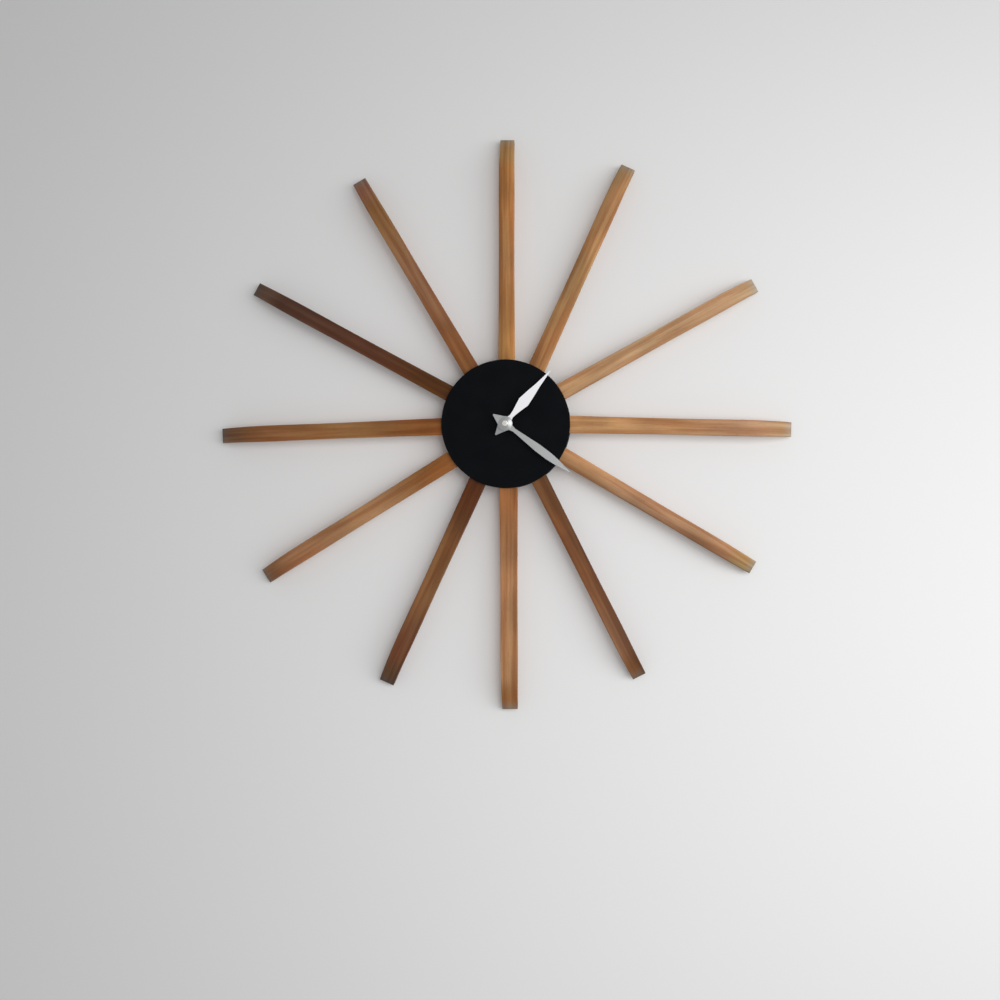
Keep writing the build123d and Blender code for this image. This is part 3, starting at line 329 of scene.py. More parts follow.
@dataclass(frozen=True)
class BareMetal(Finish):
    """Metal, bare or plated, with the fine lines of the lathe, the rolling mill or the tumbling drum."""

    colour: str
    roughness: float
    tooling: Tooling = Tooling.TUMBLED
    pitch: float = 0.25             # spacing of the lines in millimetres, coarser than real so that they show

    def shade(self, tree: Tree, shader: Node) -> None:
        """Add the tooling lines to roughness and bump."""
        place = add_node(tree, "ShaderNodeTexCoord").outputs["Object"]
        if self.tooling is Tooling.TURNED:
            flat = add_node(tree, "ShaderNodeVectorMath", {0: place, 1: (1.0, 0.0, 1.0)},
                            operation="MULTIPLY")
            reach = add_node(tree, "ShaderNodeVectorMath", {0: flat.outputs["Vector"]}, operation="LENGTH")
            place = add_node(tree, "ShaderNodeCombineXYZ", {"X": reach.outputs["Value"]}).outputs["Vector"]
            size = (self.pitch, 1.0, 1.0)
        elif self.tooling is Tooling.ROLLED:
            size = (9.0, self.pitch, self.pitch)
        else:
            size = (self.pitch * 3,) * 3
        lines = grain(tree, place, size, 2.0)
        self.vary_gloss(tree, shader, lines, (self.roughness * 0.8, self.roughness * 1.25))
        shader.inputs["Base Color"].default_value = linear(self.colour)
        shader.inputs["Metallic"].default_value = 1.0
        self.bump(tree, shader, lines, 0.01, 0.5)


@dataclass(frozen=True)
class MouldedPlastic(Finish):
    """Injection-moulded plastic with the fine grain of a spark-eroded mould."""

    colour: str
    roughness: float
    grain: float = 0.35             # spacing of the grain, in millimetres
    marks: float = 14.0             # and of the marks that handling leaves in the gloss

    def shade(self, tree: Tree, shader: Node) -> None:
        """Add the mould's grain and faint handling marks in the gloss."""
        marks = self.noise(tree, self.marks, 3.0)
        self.vary_gloss(tree, shader, marks, (self.roughness - 0.06, self.roughness + 0.08))
        shader.inputs["Base Color"].default_value = linear(self.colour)
        shader.inputs["IOR"].default_value = 1.53
        self.bump(tree, shader, self.noise(tree, self.grain, 2.0, 0.6), 0.03, 0.5)


@dataclass(frozen=True)
class PrintedSleeve(Finish):
    """Shrunk plastic sleeve of a dry cell: a plain dark body and one paler band at the positive end."""

    body: str
    band: str
    band_start: float               # x of the band's edge, in millimetres

    def shade(self, tree: Tree, shader: Node) -> None:
        """Split the sleeve's two colours along X."""
        place = add_node(tree, "ShaderNodeTexCoord").outputs["Object"]
        along = add_node(tree, "ShaderNodeSeparateXYZ", {"Vector": place}).outputs["X"]
        past = maths(tree, "GREATER_THAN", along, self.band_start * MM)
        self.mix_colours(tree, shader, past, self.body, self.band)
        shader.inputs["Roughness"].default_value = 0.3
        shader.inputs["IOR"].default_value = 1.5


@dataclass(frozen=True)
class WallPaint(Finish):
    """Emulsion on a smooth plastered wall, or on a pale floor.

    It shows to the camera from its front only, so the clock can be seen and lit from behind as well.
    """

    colour: str

    def shade(self, tree: Tree, shader: Node) -> None:
        """Put a see-through back behind the paint."""
        shader.inputs["Base Color"].default_value = linear(self.colour)
        shader.inputs["Roughness"].default_value = 0.9
        shader.inputs["Specular IOR Level"].default_value = 0.1
        camera = add_node(tree, "ShaderNodeLightPath").outputs["Is Camera Ray"]
        back = add_node(tree, "ShaderNodeNewGeometry").outputs["Backfacing"]
        shown = maths(tree, "GREATER_THAN", camera, back)
        clear = add_node(tree, "ShaderNodeBsdfTransparent")
        mix = add_node(tree, "ShaderNodeMixShader",
                       {0: shown, 1: clear.outputs["BSDF"], 2: shader.outputs["BSDF"]})
        output = next(node for node in tree.nodes if node.type == "OUTPUT_MATERIAL")
        tree.links.new(mix.outputs["Shader"], output.inputs["Surface"])


BLACK_PAINT = RolledPaint("matt_black_paint")
WHITE_LACQUER = TailedLacquer("white_satin_lacquer", "#f6f6fa")
SILVER_LACQUER = SprayedLacquer("silver_flake_lacquer", "#949696", 0.3, 0.9)
ZINC_STEEL = BareMetal("zinc_plated_steel", "#b9bcbf", 0.34)
BRIGHT_STEEL = BareMetal("bright_drawn_steel", "#c9cacb", 0.24)
SOFT_IRON = BareMetal("rolled_soft_iron", "#7d7f82", 0.45, Tooling.ROLLED)
MAGNET = BareMetal("sintered_magnet", "#4a4b4e", 0.6)
TURNED_BRASS = BareMetal("turned_brass", "#d9b968", 0.26, Tooling.TURNED)
NICKEL = BareMetal("nickel_plated_brass", "#d2cfc8", 0.22, Tooling.TURNED)
BRONZE = BareMetal("rolled_phosphor_bronze", "#c08a5c", 0.3, Tooling.TURNED)
COPPER_WIRE = BareMetal("enamelled_copper_wire", "#b8653a", 0.35, Tooling.TUMBLED, 0.12)
BLACK_PLASTIC = MouldedPlastic("moulded_black_polystyrene", "#1b1c1e", 0.46)
WHITE_PLASTIC = MouldedPlastic("natural_acetal", "#e3e2da", 0.36, 0.8)
LAMINATE = MouldedPlastic("paper_laminate_board", "#8a6a3c", 0.55, 0.6)
POTTING = MouldedPlastic("black_potting_resin", "#101012", 0.18, 1.5)
BLACK_RUBBER = MouldedPlastic("black_rubber", "#161616", 0.75, 0.5)
CELL_SLEEVE = PrintedSleeve("dry_cell_sleeve", "#2a2c2f", "#b98a4c", 12.0)
PLASTER = WallPaint("wall_emulsion", "#ebebeb")


# ---------------- modelling by hand
SAME_POINT = 0.002                  # points nearer than this, in millimetres, are merged
SAME_FACE = 0.5                     # CAD facets that meet at fewer degrees than this are one
HARD_EDGE = 38.0                    # edges of a CAD node that turn by more degrees are softened
FLATS = 96                          # round a turned piece
FACING = 0.9                        # a face looks along an axis if its normal has more than this along it


class Element(Enum):
    """What an edit-mode selection is made of: the mode's name and bmesh's name for the group."""

    EDGES = ("EDGE", "edges")
    FACES = ("FACE", "faces")


def linked(name: str, data: bpy.types.ID) -> Piece:
    """Make an object from its data and put it in the scene.

    Args:
        name: its name.
        data: its mesh, light or camera.

    Returns:
        The new object.
    """
    item = bpy.data.objects.new(name, data)
    bpy.context.scene.collection.objects.link(item)
    return item


def select_only(piece: Piece) -> None:
    """Make a piece the one that is selected and active.

    Args:
        piece: the object that is worked on next.
    """
    bpy.ops.object.select_all(action="DESELECT")
    piece.select_set(True)
    bpy.context.view_layer.objects.active = piece


@contextmanager
def editing(piece: Piece) -> Iterator[None]:
    """Open a piece in edit mode, and close it again.

    Args:
        piece: the mesh object to edit.
    """
    select_only(piece)
    bpy.ops.object.mode_set(mode="EDIT")
    yield
    bpy.ops.object.mode_set(mode="OBJECT")


def pick(piece: Piece, kind: Element, test: Callable[..., bool]) -> None:
    """Select, in edit mode, the elements that pass a test and nothing else.

    Args:
        piece: the mesh object in edit mode.
        kind: edges or faces.
        test: takes one element and says whether it is wanted.
    """
    mode, group = kind.value
    bpy.ops.mesh.select_mode(type=mode)
    bpy.ops.mesh.select_all(action="DESELECT")
    mesh = bmesh.from_edit_mesh(piece.data)
    wanted = [element for element in getattr(mesh, group) if test(element)]
    for element in wanted:
        element.select_set(True)
    mesh.select_flush_mode()
    bmesh.update_edit_mesh(piece.data)


def round_off(piece: Piece, width: float, faces: int, test: Callable[..., bool]) -> None:
    """Round off the edges that pass a test, over a width in millimetres."""
    pick(piece, Element.EDGES, test)
    bpy.ops.mesh.bevel(offset=width * MM, segments=faces, affect="EDGES")


def face_out() -> None:
    """Turn the faces of the piece in edit mode outwards."""
    bpy.ops.mesh.select_all(action="SELECT")
    bpy.ops.mesh.normals_make_consistent(inside=False)


def apply_modifier(piece: Piece, kind: str, **settings: object) -> None:
    """Add one modifier with its settings and apply it at once.

    Args:
        piece: the mesh object.
        kind: the modifier's type name.
        **settings: the modifier's properties.
    """
    select_only(piece)
    modifier = piece.modifiers.new(kind.lower(), kind)
    for name, value in settings.items():
        setattr(modifier, name, value)
    bpy.ops.object.modifier_apply(modifier=modifier.name)


def smooth(piece: Piece, angle: float = 32.0) -> None:
    """Shade a piece smooth, apart from edges sharper than an angle in degrees."""
    select_only(piece)
    bpy.ops.object.shade_smooth_by_angle(angle=radians(angle))


def taken(name: str) -> Piece:
    """Take up the primitive just added, and put its place, turn and size into its mesh.

    Args:
        name: the name it gets.

    Returns:
        The primitive.
    """
    piece = bpy.context.active_object
    piece.name = piece.data.name = name
    bpy.ops.object.transform_apply(location=True, rotation=True, scale=True)
    return piece


class Axis(Enum):
    """The way that a turned piece's profile runs."""

    INTO_ROOM = (0.0, -1.0, 0.0)
    TO_THE_RIGHT = (1.0, 0.0, 0.0)


def quarter_round(radius: float, steps: int) -> Profile:
    """Return how far in a rounded corner's points lie from its first face and its second."""
    turns = (pi / 2 * step / steps for step in range(steps + 1))
    return tuple((radius * (1 - cos(turn)), radius * (1 - sin(turn))) for turn in turns)


def turned_box(node: str) -> Triple:
    """Return how far into the room a turned node starts and ends, and its radius, in millimetres."""
    low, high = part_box(node)
    return -high.y / MM, -low.y / MM, high.x / MM


def turned(name: str, profile: Profile, at: Triple = (0.0, 0.0, 0.0), axis: Axis = Axis.INTO_ROOM) -> Piece:
    """Model a turned piece: a circle is drawn out from each point of its profile to the next.

    Args:
        name: its name.
        profile: distance along the axis and radius of each point, in millimetres. A ring's profile ends
            where it starts; a solid piece's has two ends, which are closed.
        at: the point on the axis from which the distances run, in metres.
        axis: the way that the distances run.

    Returns:
        The new piece, which rides on nothing yet.
    """
    way, start = Vector(axis.value), Vector(at)
    ring = profile[0] == profile[-1]
    bpy.ops.mesh.primitive_circle_add(vertices=FLATS, radius=profile[0][1] * MM,
                                      fill_type="NOTHING" if ring else "NGON",
                                      location=start + way * profile[0][0] * MM,
                                      rotation=way.to_track_quat("Z", "Y").to_euler())
    piece = taken(name)
    with editing(piece):
        bpy.ops.mesh.select_all(action="SELECT")
        for (near, narrow), (far, wide) in pairwise(profile):
            bpy.ops.mesh.extrude_region_move(TRANSFORM_OT_translate={"value": way * (far - near) * MM})
            spread = [1 if part else wide / narrow for part in way]
            bpy.ops.transform.resize(value=spread, center_override=start + way * far * MM)
        bpy.ops.mesh.select_all(action="SELECT")
        bpy.ops.mesh.remove_doubles(threshold=SAME_POINT / 2 * MM)
        face_out()
    smooth(piece)
    return piece


def fit(piece: Piece, finish: Finish, slot: str, *nodes: str, body: str = "clock") -> None:
    """Give a new piece its finish, its body and the CAD nodes that it stands for.

    Args:
        piece: the new piece.
        finish: its surface.
        slot: the record's material slot; not used.
        *nodes: the CAD nodes it replaces.
        body: the CAD body it rides on.
    """
    piece.data.materials.clear()
    piece.data.materials.append(finish.material())
    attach(piece, body)
    if nodes:
        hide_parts(*nodes)
    log.info("%s: %d faces", piece.name, len(piece.data.polygons))


def renew(node: str, name: str, soften: float, finish: Finish, slot: str, body: str = "clock",
          faces: int = 2, crisp: float = 32.0) -> None:
    """Replace a CAD node by a merged copy with softened edges and smooth shading.

    Args:
        node: the CAD node's name.
        name: the new piece's name.
        soften: width of the softened edges, in millimetres.
        finish: its surface.
        slot: the record's material slot.
        body: the CAD body it rides on.
        faces: how many of them round off an edge.
        crisp: angle in degrees beyond which an edge isn't shaded smooth.
    """
    piece = linked(name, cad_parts[node].data.copy())
    with editing(piece):
        bpy.ops.mesh.select_all(action="SELECT")
        bpy.ops.mesh.remove_doubles(threshold=SAME_POINT * MM)
        bpy.ops.mesh.customdata_custom_splitnormals_clear()
        bpy.ops.mesh.dissolve_limited(angle_limit=radians(SAME_FACE))
    apply_modifier(piece, "BEVEL", width=soften * MM, segments=faces, limit_method="ANGLE",
                   angle_limit=radians(HARD_EDGE), use_clamp_overlap=True)
    smooth(piece, crisp)
    apply_modifier(piece, "WEIGHTED_NORMAL", keep_sharp=True)       # so that flat faces are shaded flat
    fit(piece, finish, slot, node, body=body)


def dress(node: str, finish: Finish) -> None:
    """Give a CAD node that keeps its own mesh its material.

    Args:
        node: the CAD node's name.
        finish: its surface.
    """
    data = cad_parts[node].data
    data.materials.clear()
    data.materials.append(finish.material())
    log.info("%s: %s", node, finish.name)


# ---------------- slats
@dataclass(frozen=True)
class Board:
    """One slat: where it stands, its own wood and the painted light across it."""

    node: str
    heading: float                  # in degrees
    across: float                   # how far to the right of the axis it stands, in millimetres
    breadth: float                  # beside the rest
    tones: tuple[str, str, str, str]
    # painted light across the slat: how much paler its right side is, as the light falls on it
    painted_light_lean: float
    slot: str


# the last number of each board is the painted light across it
BOARDS = (
    Board("slat_12", 0.0, 0.5, 0.97, ("#ab7c48", "#a97a4c", "#a77442", "#ad8858"), 0.22, "warm_teak"),
    Board("slat_01", 24.3, 5.0, 1.02, ("#a17449", "#a78054", "#ad8157", "#a7835c"), 0.22, "warm_teak"),
    Board("slat_02", 61.0, -1.7, 1.0, ("#af8861", "#bb9872", "#cda780", "#c8aa84"), 0.0, "light_teak"),
    Board("slat_03", 91.2, -1.1, 1.02, ("#bc9062", "#aa7f56", "#b58e6d", "#b6946f"), 0.0, "light_teak"),
    Board("slat_04", 120.5, -1.8, 0.96, ("#b5875d", "#9f7a5b", "#a07958", "#997d54"), -0.34, "light_teak"),
    Board("slat_05", 153.2, -5.0, 0.97, ("#6c4729", "#764c2d", "#825d42", "#6e4a2d"), 0.3, "brown_teak"),
    Board("slat_06", 179.8, -2.3, 1.07, ("#926038", "#a87d57", "#a37a54", "#95683f"), 0.14, "light_teak"),
    Board("slat_07", 204.6, 2.2, 1.04, ("#522b0f", "#825b38", "#6a442d", "#5a412e"), 0.1, "brown_teak"),
    Board("slat_08", 238.1, -1.6, 1.04, ("#936334", "#a27954", "#a87a56", "#8d6748"), -0.07, "light_teak"),
    Board("slat_09", 267.7, 0.1, 1.0, ("#8a5629", "#906840", "#865b39", "#795940"), -0.08, "warm_teak"),
    Board("slat_10", 298.5, -0.2, 0.95, ("#56330f", "#603c29", "#50372b", "#634d40"), -0.14, "dark_teak"),
    Board("slat_11", 329.2, -2.5, 0.98, ("#825631", "#926a4c", "#88633d", "#956a54"), -0.05, "warm_teak"),
)
FIRST_SEED, SEED_STEP = 0.37, 1.9   # so that no two slats have the same streaks


@dataclass
class SlatFan:
    """The twelve teak slats. One is modelled upright and straight, its tip bent, and then copied."""

    thick: float = 7.0
    # distance from the hands' axis and half width, from the root to the tip
    waist: Profile = ((41.0, 9.0), (115.0, 8.5), (185.0, 8.15), (250.0, 8.35), (301.1, 7.5))
    bend_r: float = 90.0            # of the front face
    bend_angle: float = 30.0
    long_cuts: int = 26             # along the straight part
    bend_steps: int = 12
    cross_cuts: int = 5
    tip_round: float = 3.0
    front_round: float = 0.9
    back_round: float = 0.4
    corner: float = 50.0            # edges that turn by more degrees than this are rounded off
    crown: float = 0.22             # how much the middle of the front stands above its edges
    crown_at_hub: Pair = (2.0, 30.0)            # where the crown starts and over what length
    crown_at_tip: Pair = (4.0, 12.0)            # it rises, from the hub and from the tip
    boards: tuple[Board, ...] = BOARDS
    front: float = field(init=False)
    hub: float = field(init=False)

    def __post_init__(self) -> None:
        """Take the depth of the slats and the size of the hub from the frame, in millimetres."""
        self.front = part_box("slat_12")[0].y / MM
        self.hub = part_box("dial_disc")[1].x / MM

    @property
    def reach(self) -> float:
        """Distance of the tip's front corner from the axis, before it is rounded."""
        return self.waist[-1][0]

    @property
    def bend_start(self) -> float:
        """Distance from the axis at which the tip begins to bend."""
        return self.reach - self.bend_r * sin(radians(self.bend_angle))

    def slope(self, station: int) -> float:
        """Slope of the side at one of the waist's stations."""
        (near, first), *_, (far, second) = self.waist[max(station - 1, 0):station + 2]
        return (second - first) / (far - near)

    def half_width(self, reach: float) -> float:
        """Work out a slat's half width on a smooth line through the waist's stations.

        Args:
            reach: distance from the axis, in millimetres.

        Returns:
            The half width, in millimetres.
        """
        station = sum(reach > at for at, _ in self.waist[1:-1])
        (near, first), (far, second) = self.waist[station:station + 2]
        span = far - near
        share = (reach - near) / span
        rest = 1 - share
        return (first * rest * rest * (1 + 2 * share) + second * share * share * (3 - 2 * share)
                + span * share * rest * (rest * self.slope(station) - share * self.slope(station + 1)))

    def model(self) -> Piece:
        """Model the upright slat: a blank, its bent tip, its waist and its soft edges.

        Returns:
            The slat, as the others are copied from it.
        """
        root, blank = self.waist[0]
        length = self.bend_start - root
        bpy.ops.mesh.primitive_cube_add(
            size=1, location=(0, (self.front + self.thick / 2) * MM, (root + length / 2) * MM),
            scale=(2 * blank * MM, self.thick * MM, length * MM))
        piece = taken("teak_slat")
        with editing(piece):
            pick(piece, Element.EDGES, lambda edge: edge.calc_length() > length * MM * 0.9)
            bpy.ops.mesh.subdivide(number_cuts=self.long_cuts)
            pick(piece, Element.FACES, lambda face: face.normal.z > FACING)
            bpy.ops.mesh.spin(steps=self.bend_steps, angle=radians(self.bend_angle),
                              center=(0, (self.front + self.bend_r) * MM, self.bend_start * MM),
                              axis=(1, 0, 0))
            pick(piece, Element.EDGES, self.runs_across)
            bpy.ops.mesh.subdivide(number_cuts=self.cross_cuts)
            self.shape_sides(piece)
            round_off(piece, self.tip_round, 7, self.is_tip_corner)
            round_off(piece, self.front_round, 4, lambda edge: self.is_corner(edge, front=True))
            round_off(piece, self.back_round, 2, lambda edge: self.is_corner(edge, front=False))
            face_out()
        smooth(piece, 40)
        return piece

    def runs_across(self, edge: Edge) -> bool:
        """Say whether an edge runs from one side of the slat to the other."""
        first, second = (vert.co for vert in edge.verts)
        return abs(first.x - second.x) > self.waist[0][1] * MM

    def is_tip_corner(self, edge: Edge) -> bool:
        """Say whether an edge lies on the front corner of the tip."""
        return all(abs(vert.co.z - self.reach * MM) < 0.1 * MM for vert in edge.verts)

    def is_corner(self, edge: Edge, front: bool) -> bool:
        """Say whether an edge is sharp and of the wanted kind.

        Args:
            edge: an edge of the slat.
            front: whether the long ones of the front are wanted, or all others.

        Returns:
            Whether it is to be rounded off.
        """
        if len(edge.link_faces) != 2 or edge.calc_face_angle() < radians(self.corner):
            return False
        on_side = any(abs(face.normal.x) > 0.7 for face in edge.link_faces)
        on_front = any(face.normal.y < -0.3 for face in edge.link_faces)
        return (on_side and on_front) == front

    def shape_sides(self, piece: Piece) -> None:
        """Give the straight-sided slat its waist, and its front the crown.

        Args:
            piece: the upright slat, in edit mode.
        """
        mesh = bmesh.from_edit_mesh(piece.data)
        (hub_gap, hub_rise), (tip_gap, tip_rise) = self.crown_at_hub, self.crown_at_tip
        for vert in mesh.verts:
            along, across, depth = self.board_place(vert.co)
            share = across / self.waist[0][1]
            vert.co.x = share * self.half_width(vert.co.z / MM) * MM
            from_hub, from_tip = along - self.hub - hub_gap, self.reach - tip_gap - along
            if depth < 0.01 and from_hub > 0 and from_tip > 0:
                rise = min(1.0, from_hub / hub_rise) * min(1.0, from_tip / tip_rise)
                vert.co.y -= self.crown * rise * (1 - share * share) * MM
        bmesh.update_edit_mesh(piece.data)

    def board_place(self, point: Vector) -> Triple:
        """Return a point's place in the straight board, in millimetres.

        Args:
            point: a point of the upright slat, in metres.

        Returns:
            Distance from the axis along the board, distance across it, and depth under its front.
        """
        x, y, z = (value / MM for value in point)
        if z <= self.bend_start:
            return z, x, y - self.front
        centre = self.front + self.bend_r
        turn = atan2(z - self.bend_start, centre - y)
        along = self.bend_start + self.bend_r * turn
        return along, x, self.bend_r - hypot(z - self.bend_start, centre - y)

    def mark_grain(self, piece: Piece) -> None:
        """Store each point's place in the straight board, across, through and along, for the wood.

        Args:
            piece: the upright slat.
        """
        places = piece.data.attributes.new("board", "FLOAT_VECTOR", "POINT")
        for vert, item in zip(piece.data.vertices, places.data):
            along, across, depth = self.board_place(vert.co)
            item.vector = (across * MM, depth * MM, along * MM)

    def build(self) -> None:
        """Copy the slat to its twelve places, each with its own breadth and wood."""
        pattern = self.model()
        self.mark_grain(pattern)
        for number, board in enumerate(self.boards):
            piece = linked(f"teak_{board.node}", pattern.data.copy())
            piece.data.name = piece.name
            turn = Matrix.Rotation(radians(board.heading), 4, "Y")
            place = Matrix.Translation((board.across * MM, 0, 0)) @ Matrix.Diagonal((board.breadth, 1, 1, 1))
            piece.data.transform(turn @ place)
            seed = FIRST_SEED + SEED_STEP * number
            # each board's wood carries the painted light across it
            wood = OiledTeak(f"oiled_teak_{board.node[-2:]}", board.tones, board.painted_light_lean, seed)
            fit(piece, wood, board.slot, board.node)
        bpy.data.objects.remove(pattern)


# ---------------- hub
@dataclass
class Hub:
    """The dial disc and the rear hub, both painted matt black, and what fastens them."""

    dial_edge: float = 0.6
    bore: float = 4.15
    washer_bore: float = 4.2
    washer_edge: float = 0.1
    bush_bore: float = 2.6
    thread_pitch: float = 0.75
    thread_depth: float = 0.42
    lead_in: float = 0.5            # chamfer at the bush's end

    def dial(self) -> None:
        """Model the dial: a disc with a rounded front rim and a hole for the fixing bush."""
        low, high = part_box("dial_disc")
        radius = high.x
        bpy.ops.mesh.primitive_cylinder_add(vertices=256, radius=radius, depth=high.y - low.y,
                                            location=(0, (low.y + high.y) / 2, 0), rotation=(pi / 2, 0, 0))
        piece = taken("painted_dial")
        with editing(piece):
            pick(piece, Element.FACES, lambda face: abs(face.normal.y) > FACING)
            bpy.ops.mesh.inset(thickness=radius - self.bore * MM, depth=0)
            bpy.ops.mesh.delete(type="FACE")
            pick(piece, Element.EDGES, lambda edge: edge.is_boundary)
            bpy.ops.mesh.bridge_edge_loops()
            round_off(piece, self.dial_edge, 5, lambda edge: self.on_front_rim(edge, low.y, radius))
            face_out()
        smooth(piece, 30)
        fit(piece, BLACK_PAINT, "black_paint", "dial_disc")

    def washer(self) -> None:
        """Turn the brass washer, with its edges broken."""
        (back, front, rim), edge = turned_box("dial_washer"), self.washer_edge
        profile = ((back, self.washer_bore), (back, rim - edge), (back + edge, rim), (front - edge, rim),
                   (front, rim - edge), (front, self.washer_bore + edge), (front - edge, self.washer_bore),
                   (back, self.washer_bore))
        fit(turned("turned_dial_washer", profile), TURNED_BRASS, "brass", "dial_washer")

    def bush(self) -> None:
        """Turn the threaded bush. Its thread is drawn as closed rings of the real pitch."""
        back, front, crest = turned_box("fixing_bush")
        root, half = crest - self.thread_depth, self.thread_pitch / 2
        points = [(back, self.bush_bore), (back, crest)]
        depth = back + self.thread_pitch
        while depth + self.thread_pitch < front - self.lead_in:
            points += [(depth, crest), (depth + half * 0.9, root), (depth + half * 1.1, root)]
            depth += self.thread_pitch
        points += [(front - self.lead_in, crest), (front, crest - self.lead_in), (front, self.bush_bore),
                   (back, self.bush_bore)]
        fit(turned("turned_fixing_bush", tuple(points)), TURNED_BRASS, "brass", "fixing_bush")

    @staticmethod
    def on_front_rim(edge: Edge, front: float, radius: float) -> bool:
        """Say whether an edge lies on the disc's outer front corner."""
        return all(abs(vert.co.y - front) < 0.01 * MM and hypot(vert.co.x, vert.co.z) > radius * 0.99
                   for vert in edge.verts)

    def build(self) -> None:
        """Make the dial, the rear hub and their fastenings."""
        self.dial()
        renew("rear_hub", "painted_rear_hub", 0.25, BLACK_PAINT, "black_paint")
        renew("slat_screws", "slat_wood_screws", 0.08, ZINC_STEEL, "zinc_steel")
        renew("hanger_plate", "keyhole_plate", 0.12, ZINC_STEEL, "zinc_steel")
        renew("hanger_screws", "hanger_wood_screws", 0.08, ZINC_STEEL, "zinc_steel")
        renew("dial_nut", "hexagon_dial_nut", 0.12, TURNED_BRASS, "brass")
        self.washer()
        self.bush()
        dress("rubber_washer", BLACK_RUBBER)


# ---------------- hands
@dataclass
class Hands:
    """Hour hand, minute hand and the nut that holds them."""

    nut_bore: float = 1.35
    nut_edge: float = 0.5

    def nut(self) -> None:
        """Turn the domed nut, open in the middle for the arbor."""
        (back, front, rim), edge = turned_box("hand_nut"), self.nut_edge
        dome = tuple((front - down, rim - inward) for inward, down in quarter_round(edge, 6))
        profile = ((back, self.nut_bore), (back, rim), *dome, (front, self.nut_bore + edge / 3),
                   (front - edge / 3, self.nut_bore), (back, self.nut_bore))
        fit(turned("domed_hand_nut", profile), NICKEL, "nickel_brass", "hand_nut", body="minute")

    def build(self) -> None:
        """Make both hands and the nut."""
        renew("hour_hand", "stamped_hour_hand", 0.1, WHITE_LACQUER, "white_hand", "hour", 3, 14)
        renew("minute_hand", "stamped_minute_hand", 0.1, SILVER_LACQUER, "grey_hand", "minute", 3, 14)
        self.nut()


# ---------------- movement
@dataclass
class Movement:
    """The quartz movement: its case, knob and battery, which show from behind, and what they hide."""

    crimp: float = 0.5              # rounding of the battery's sleeve at its ends
    crimp_in: float = 1.3           # how far the sleeve is shrunk over the ends
    lap: float = 0.05               # how far it runs on inside the can
    nub_r: float = 2.6              # of the battery's raised end
    nub_edge: float = 0.3
    nub_high: float = 1.5

    def sleeve(self) -> None:
        """Turn the battery's printed sleeve, shrunk over both ends of the can."""
        start, end, rim, at = self.battery()
        end -= self.nub_high
        corner = quarter_round(self.crimp, 4)
        left = tuple((start + along, rim - inward) for along, inward in corner)
        right = tuple((end - along, rim - inward) for along, inward in reversed(corner))
        inside = rim - self.crimp_in
        under = inside - self.lap
        profile = ((start, inside), *left, *right, (end, inside), (end - self.crimp, under),
                   (start + self.crimp, under), (start, inside))
        piece = turned("dry_cell_sleeve", profile, at, Axis.TO_THE_RIGHT)
        fit(piece, CELL_SLEEVE, "battery_jacket", "battery")

    def can(self) -> None:
        """Turn the battery's steel can: a flat base, a shoulder and the raised positive end."""
        start, end, rim, at = self.battery()
        rim -= self.crimp_in
        shoulder = end - self.nub_high - self.nub_edge
        profile = ((start + self.nub_edge, rim), (shoulder, rim), (shoulder, self.nub_r + self.nub_edge),
                   (shoulder + self.nub_edge, self.nub_r), (end - self.nub_edge, self.nub_r),
                   (end, self.nub_r - self.nub_edge))
        fit(turned("dry_cell_can", profile, at, Axis.TO_THE_RIGHT), BRIGHT_STEEL, "bright_steel")

    @staticmethod
    def battery() -> tuple[float, float, float, Triple]:
        """Return the battery's two ends and radius in millimetres, and the point of its axis at x = 0."""
        low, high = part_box("battery")
        return (low.x / MM, high.x / MM, (high.z - low.z) / 2 / MM,
                (0.0, (low.y + high.y) / 2, (low.z + high.z) / 2))

    def build(self) -> None:
        """Make what shows from behind and dress the rest."""
        renew("case_front", "movement_case", 0.15, BLACK_PLASTIC, "black_plastic")
        renew("case_cover", "movement_cover", 0.15, BLACK_PLASTIC, "black_plastic")
        renew("setting_knob", "grooved_setting_knob", 0.12, BLACK_PLASTIC, "black_plastic", "setting")
        self.sleeve()
        self.can()
        inner = {
            NICKEL: ("cannon_pinion",),
            TURNED_BRASS: ("centre_wheel",),
            BRONZE: ("clutch_spring",),
            WHITE_PLASTIC: ("train_bridge", "middle_plate", "rotor_pinion", "intermediate_wheel",
                            "seconds_wheel", "third_wheel", "motion_wheel", "hour_wheel",
                            "setting_arbor", "coil_bobbin"),
            BRIGHT_STEEL: ("seconds_arbor", "quartz_crystal", "positive_contact", "negative_contact"),
            MAGNET: ("rotor_magnet",),
            SOFT_IRON: ("stator", "coil_core"),
            COPPER_WIRE: ("coil_winding",),
            LAMINATE: ("circuit_board",),
            POTTING: ("clock_chip",),
        }
        for finish, nodes in inner.items():
            for node in nodes:
                dress(node, finish)


# ---------------- room, light and camera
@dataclass
class Room:
    """The wall that the clock hangs on, and the floor under it."""

    half: float = 4.0
    floor_below: float = 1.25
    gap: float = 0.2 * MM           # between the clock's back and the wall's face

    def sheet(self, name: str, at: Triple, turn: Triple) -> None:
        """Lay one large painted square.

        Args:
            name: its name.
            at: its middle.
            turn: its rotation from lying face up.
        """
        bpy.ops.mesh.primitive_plane_add(size=2 * self.half, location=at, rotation=turn)
        plane = taken(name)
        plane.data.materials.append(PLASTER.material())

    def build(self) -> None:
        """Put up the wall and lay the floor, which starts at the wall."""
        self.sheet("wall", (0, self.gap, 0), (pi / 2, 0, 0))
        self.sheet("floor", (0, self.gap - self.half, -self.floor_below), (0, 0, 0))


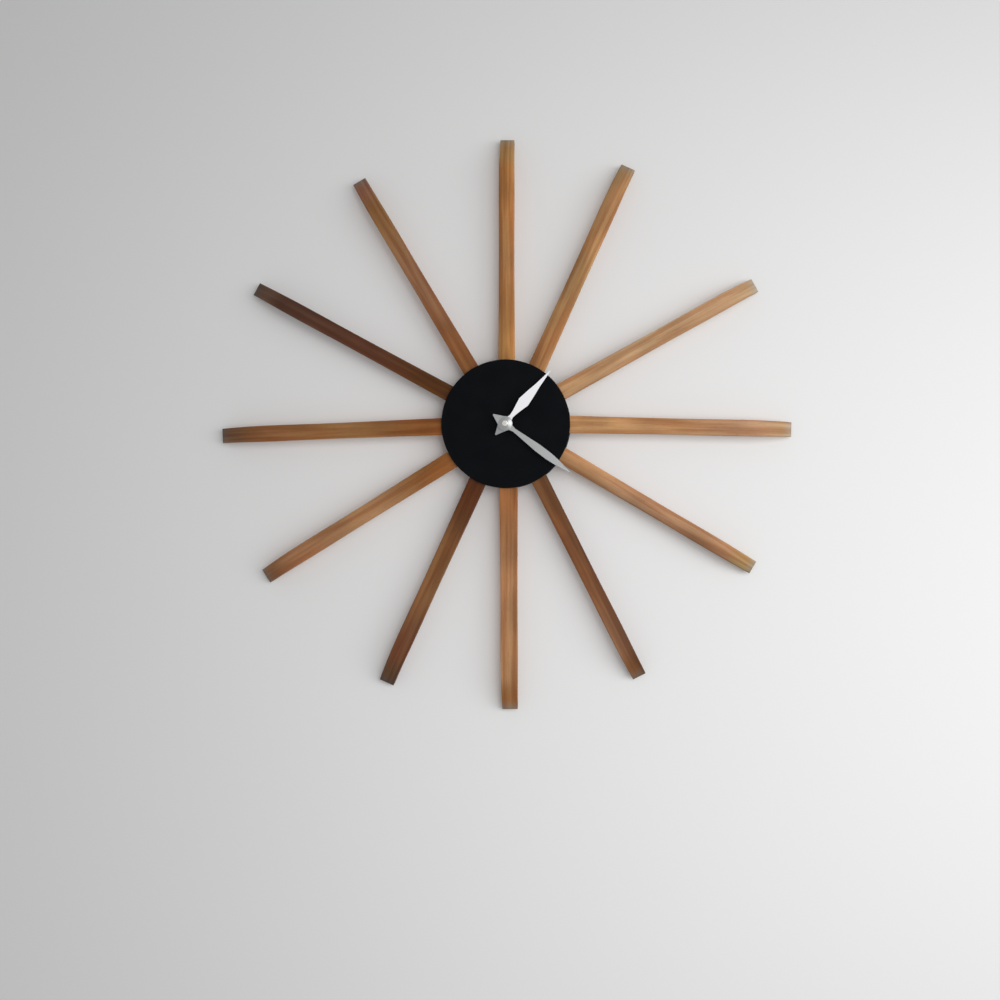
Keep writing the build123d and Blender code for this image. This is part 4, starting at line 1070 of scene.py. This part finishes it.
@dataclass(frozen=True)
class Lamp:
    """One rectangular lamp."""

    name: str
    at: Triple
    aim: Triple                     # the point it faces
    size: Pair                      # width and height, in metres
    power: float                    # in watts
    spread: float = 180.0           # how far its light opens, in degrees

    def hang(self) -> None:
        """Put the lamp in the scene, out of the camera's sight."""
        data = bpy.data.lights.new(self.name, "AREA")
        data.shape = "RECTANGLE"
        data.size, data.size_y = self.size
        data.energy = self.power
        data.spread = radians(self.spread)
        lamp = linked(self.name, data)
        lamp.location = self.at
        lamp.rotation_euler = (Vector(self.aim) - Vector(self.at)).to_track_quat("-Z", "Y").to_euler()
        lamp.visible_camera = False


@dataclass
class Studio:
    """Two broad soft lights from the right, as from windows, a weak one behind, and a pale surround."""

    surround: float = 0.38          # light of the surround on the clock, where white is one
    backdrop: float = 0.86          # what the camera sees of it
    lamps: tuple[Lamp, ...] = (
        Lamp("window", (0.95, -1.6, 0.05), (0.6, 0.0, -0.3), (1.5, 1.2), 5.95, 90.0),
        Lamp("far_window", (2.6, -1.5, -0.05), (0.3, 0.0, -0.25), (1.6, 1.5), 4.5, 80.0),
        Lamp("back_light", (-0.9, 2.2, 0.8), (0.0, 0.0, 0.0), (1.6, 1.6), 26.0))

    def build(self) -> None:
        """Hang the lamps and light the surround."""
        for lamp in self.lamps:
            lamp.hang()
        world = bpy.context.scene.world = bpy.data.worlds.new("surround")
        world.use_nodes = True
        tree = world.node_tree
        tree.nodes.clear()
        rays = add_node(tree, "ShaderNodeLightPath")
        seen = rays.outputs["Is Camera Ray"]
        for ray in ("Is Glossy Ray", "Is Transmission Ray"):
            seen = maths(tree, "MAXIMUM", seen, rays.outputs[ray])
        level = ramp(tree, seen, 0.0, 1.0, self.surround, self.backdrop)
        glow = add_node(tree, "ShaderNodeBackground", {"Color": linear("#ffffff"), "Strength": level})
        add_node(tree, "ShaderNodeOutputWorld", {"Surface": glow.outputs["Background"]})


@dataclass
class Viewpoint:
    """A camera square to the wall, a little to the right of the clock and below it."""

    aside: float = 100.0            # of the hands' axis, in millimetres
    below: float = 70.0
    distance: float = 1250.0        # from the slats' front faces
    span: float = 1044.0            # width of what the view takes in at that distance
    shift: Pair = (-0.1017, -0.009)

    def build(self) -> None:
        """Set up the camera."""
        data = bpy.data.cameras.new("camera")
        data.sensor_width = 36.0
        data.lens = data.sensor_width * self.distance / self.span
        data.shift_x, data.shift_y = self.shift
        camera = linked("camera", data)
        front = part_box("slat_12")[0].y
        camera.location = (self.aside * MM, front - self.distance * MM, -self.below * MM)
        camera.rotation_euler = (pi / 2, 0, 0)
        bpy.context.scene.camera = camera


def main() -> None:
    """Build every sub-assembly in order, then set the view transform."""
    logging.basicConfig(level=logging.INFO, format="%(message)s")
    for part in (Viewpoint(), Room(), Studio(), SlatFan(), Hub(), Hands(), Movement()):
        log.info("-- %s", type(part).__name__)
        part.build()
    bpy.context.scene.view_settings.view_transform = "Standard"


if __name__ == "__main__":
    main()
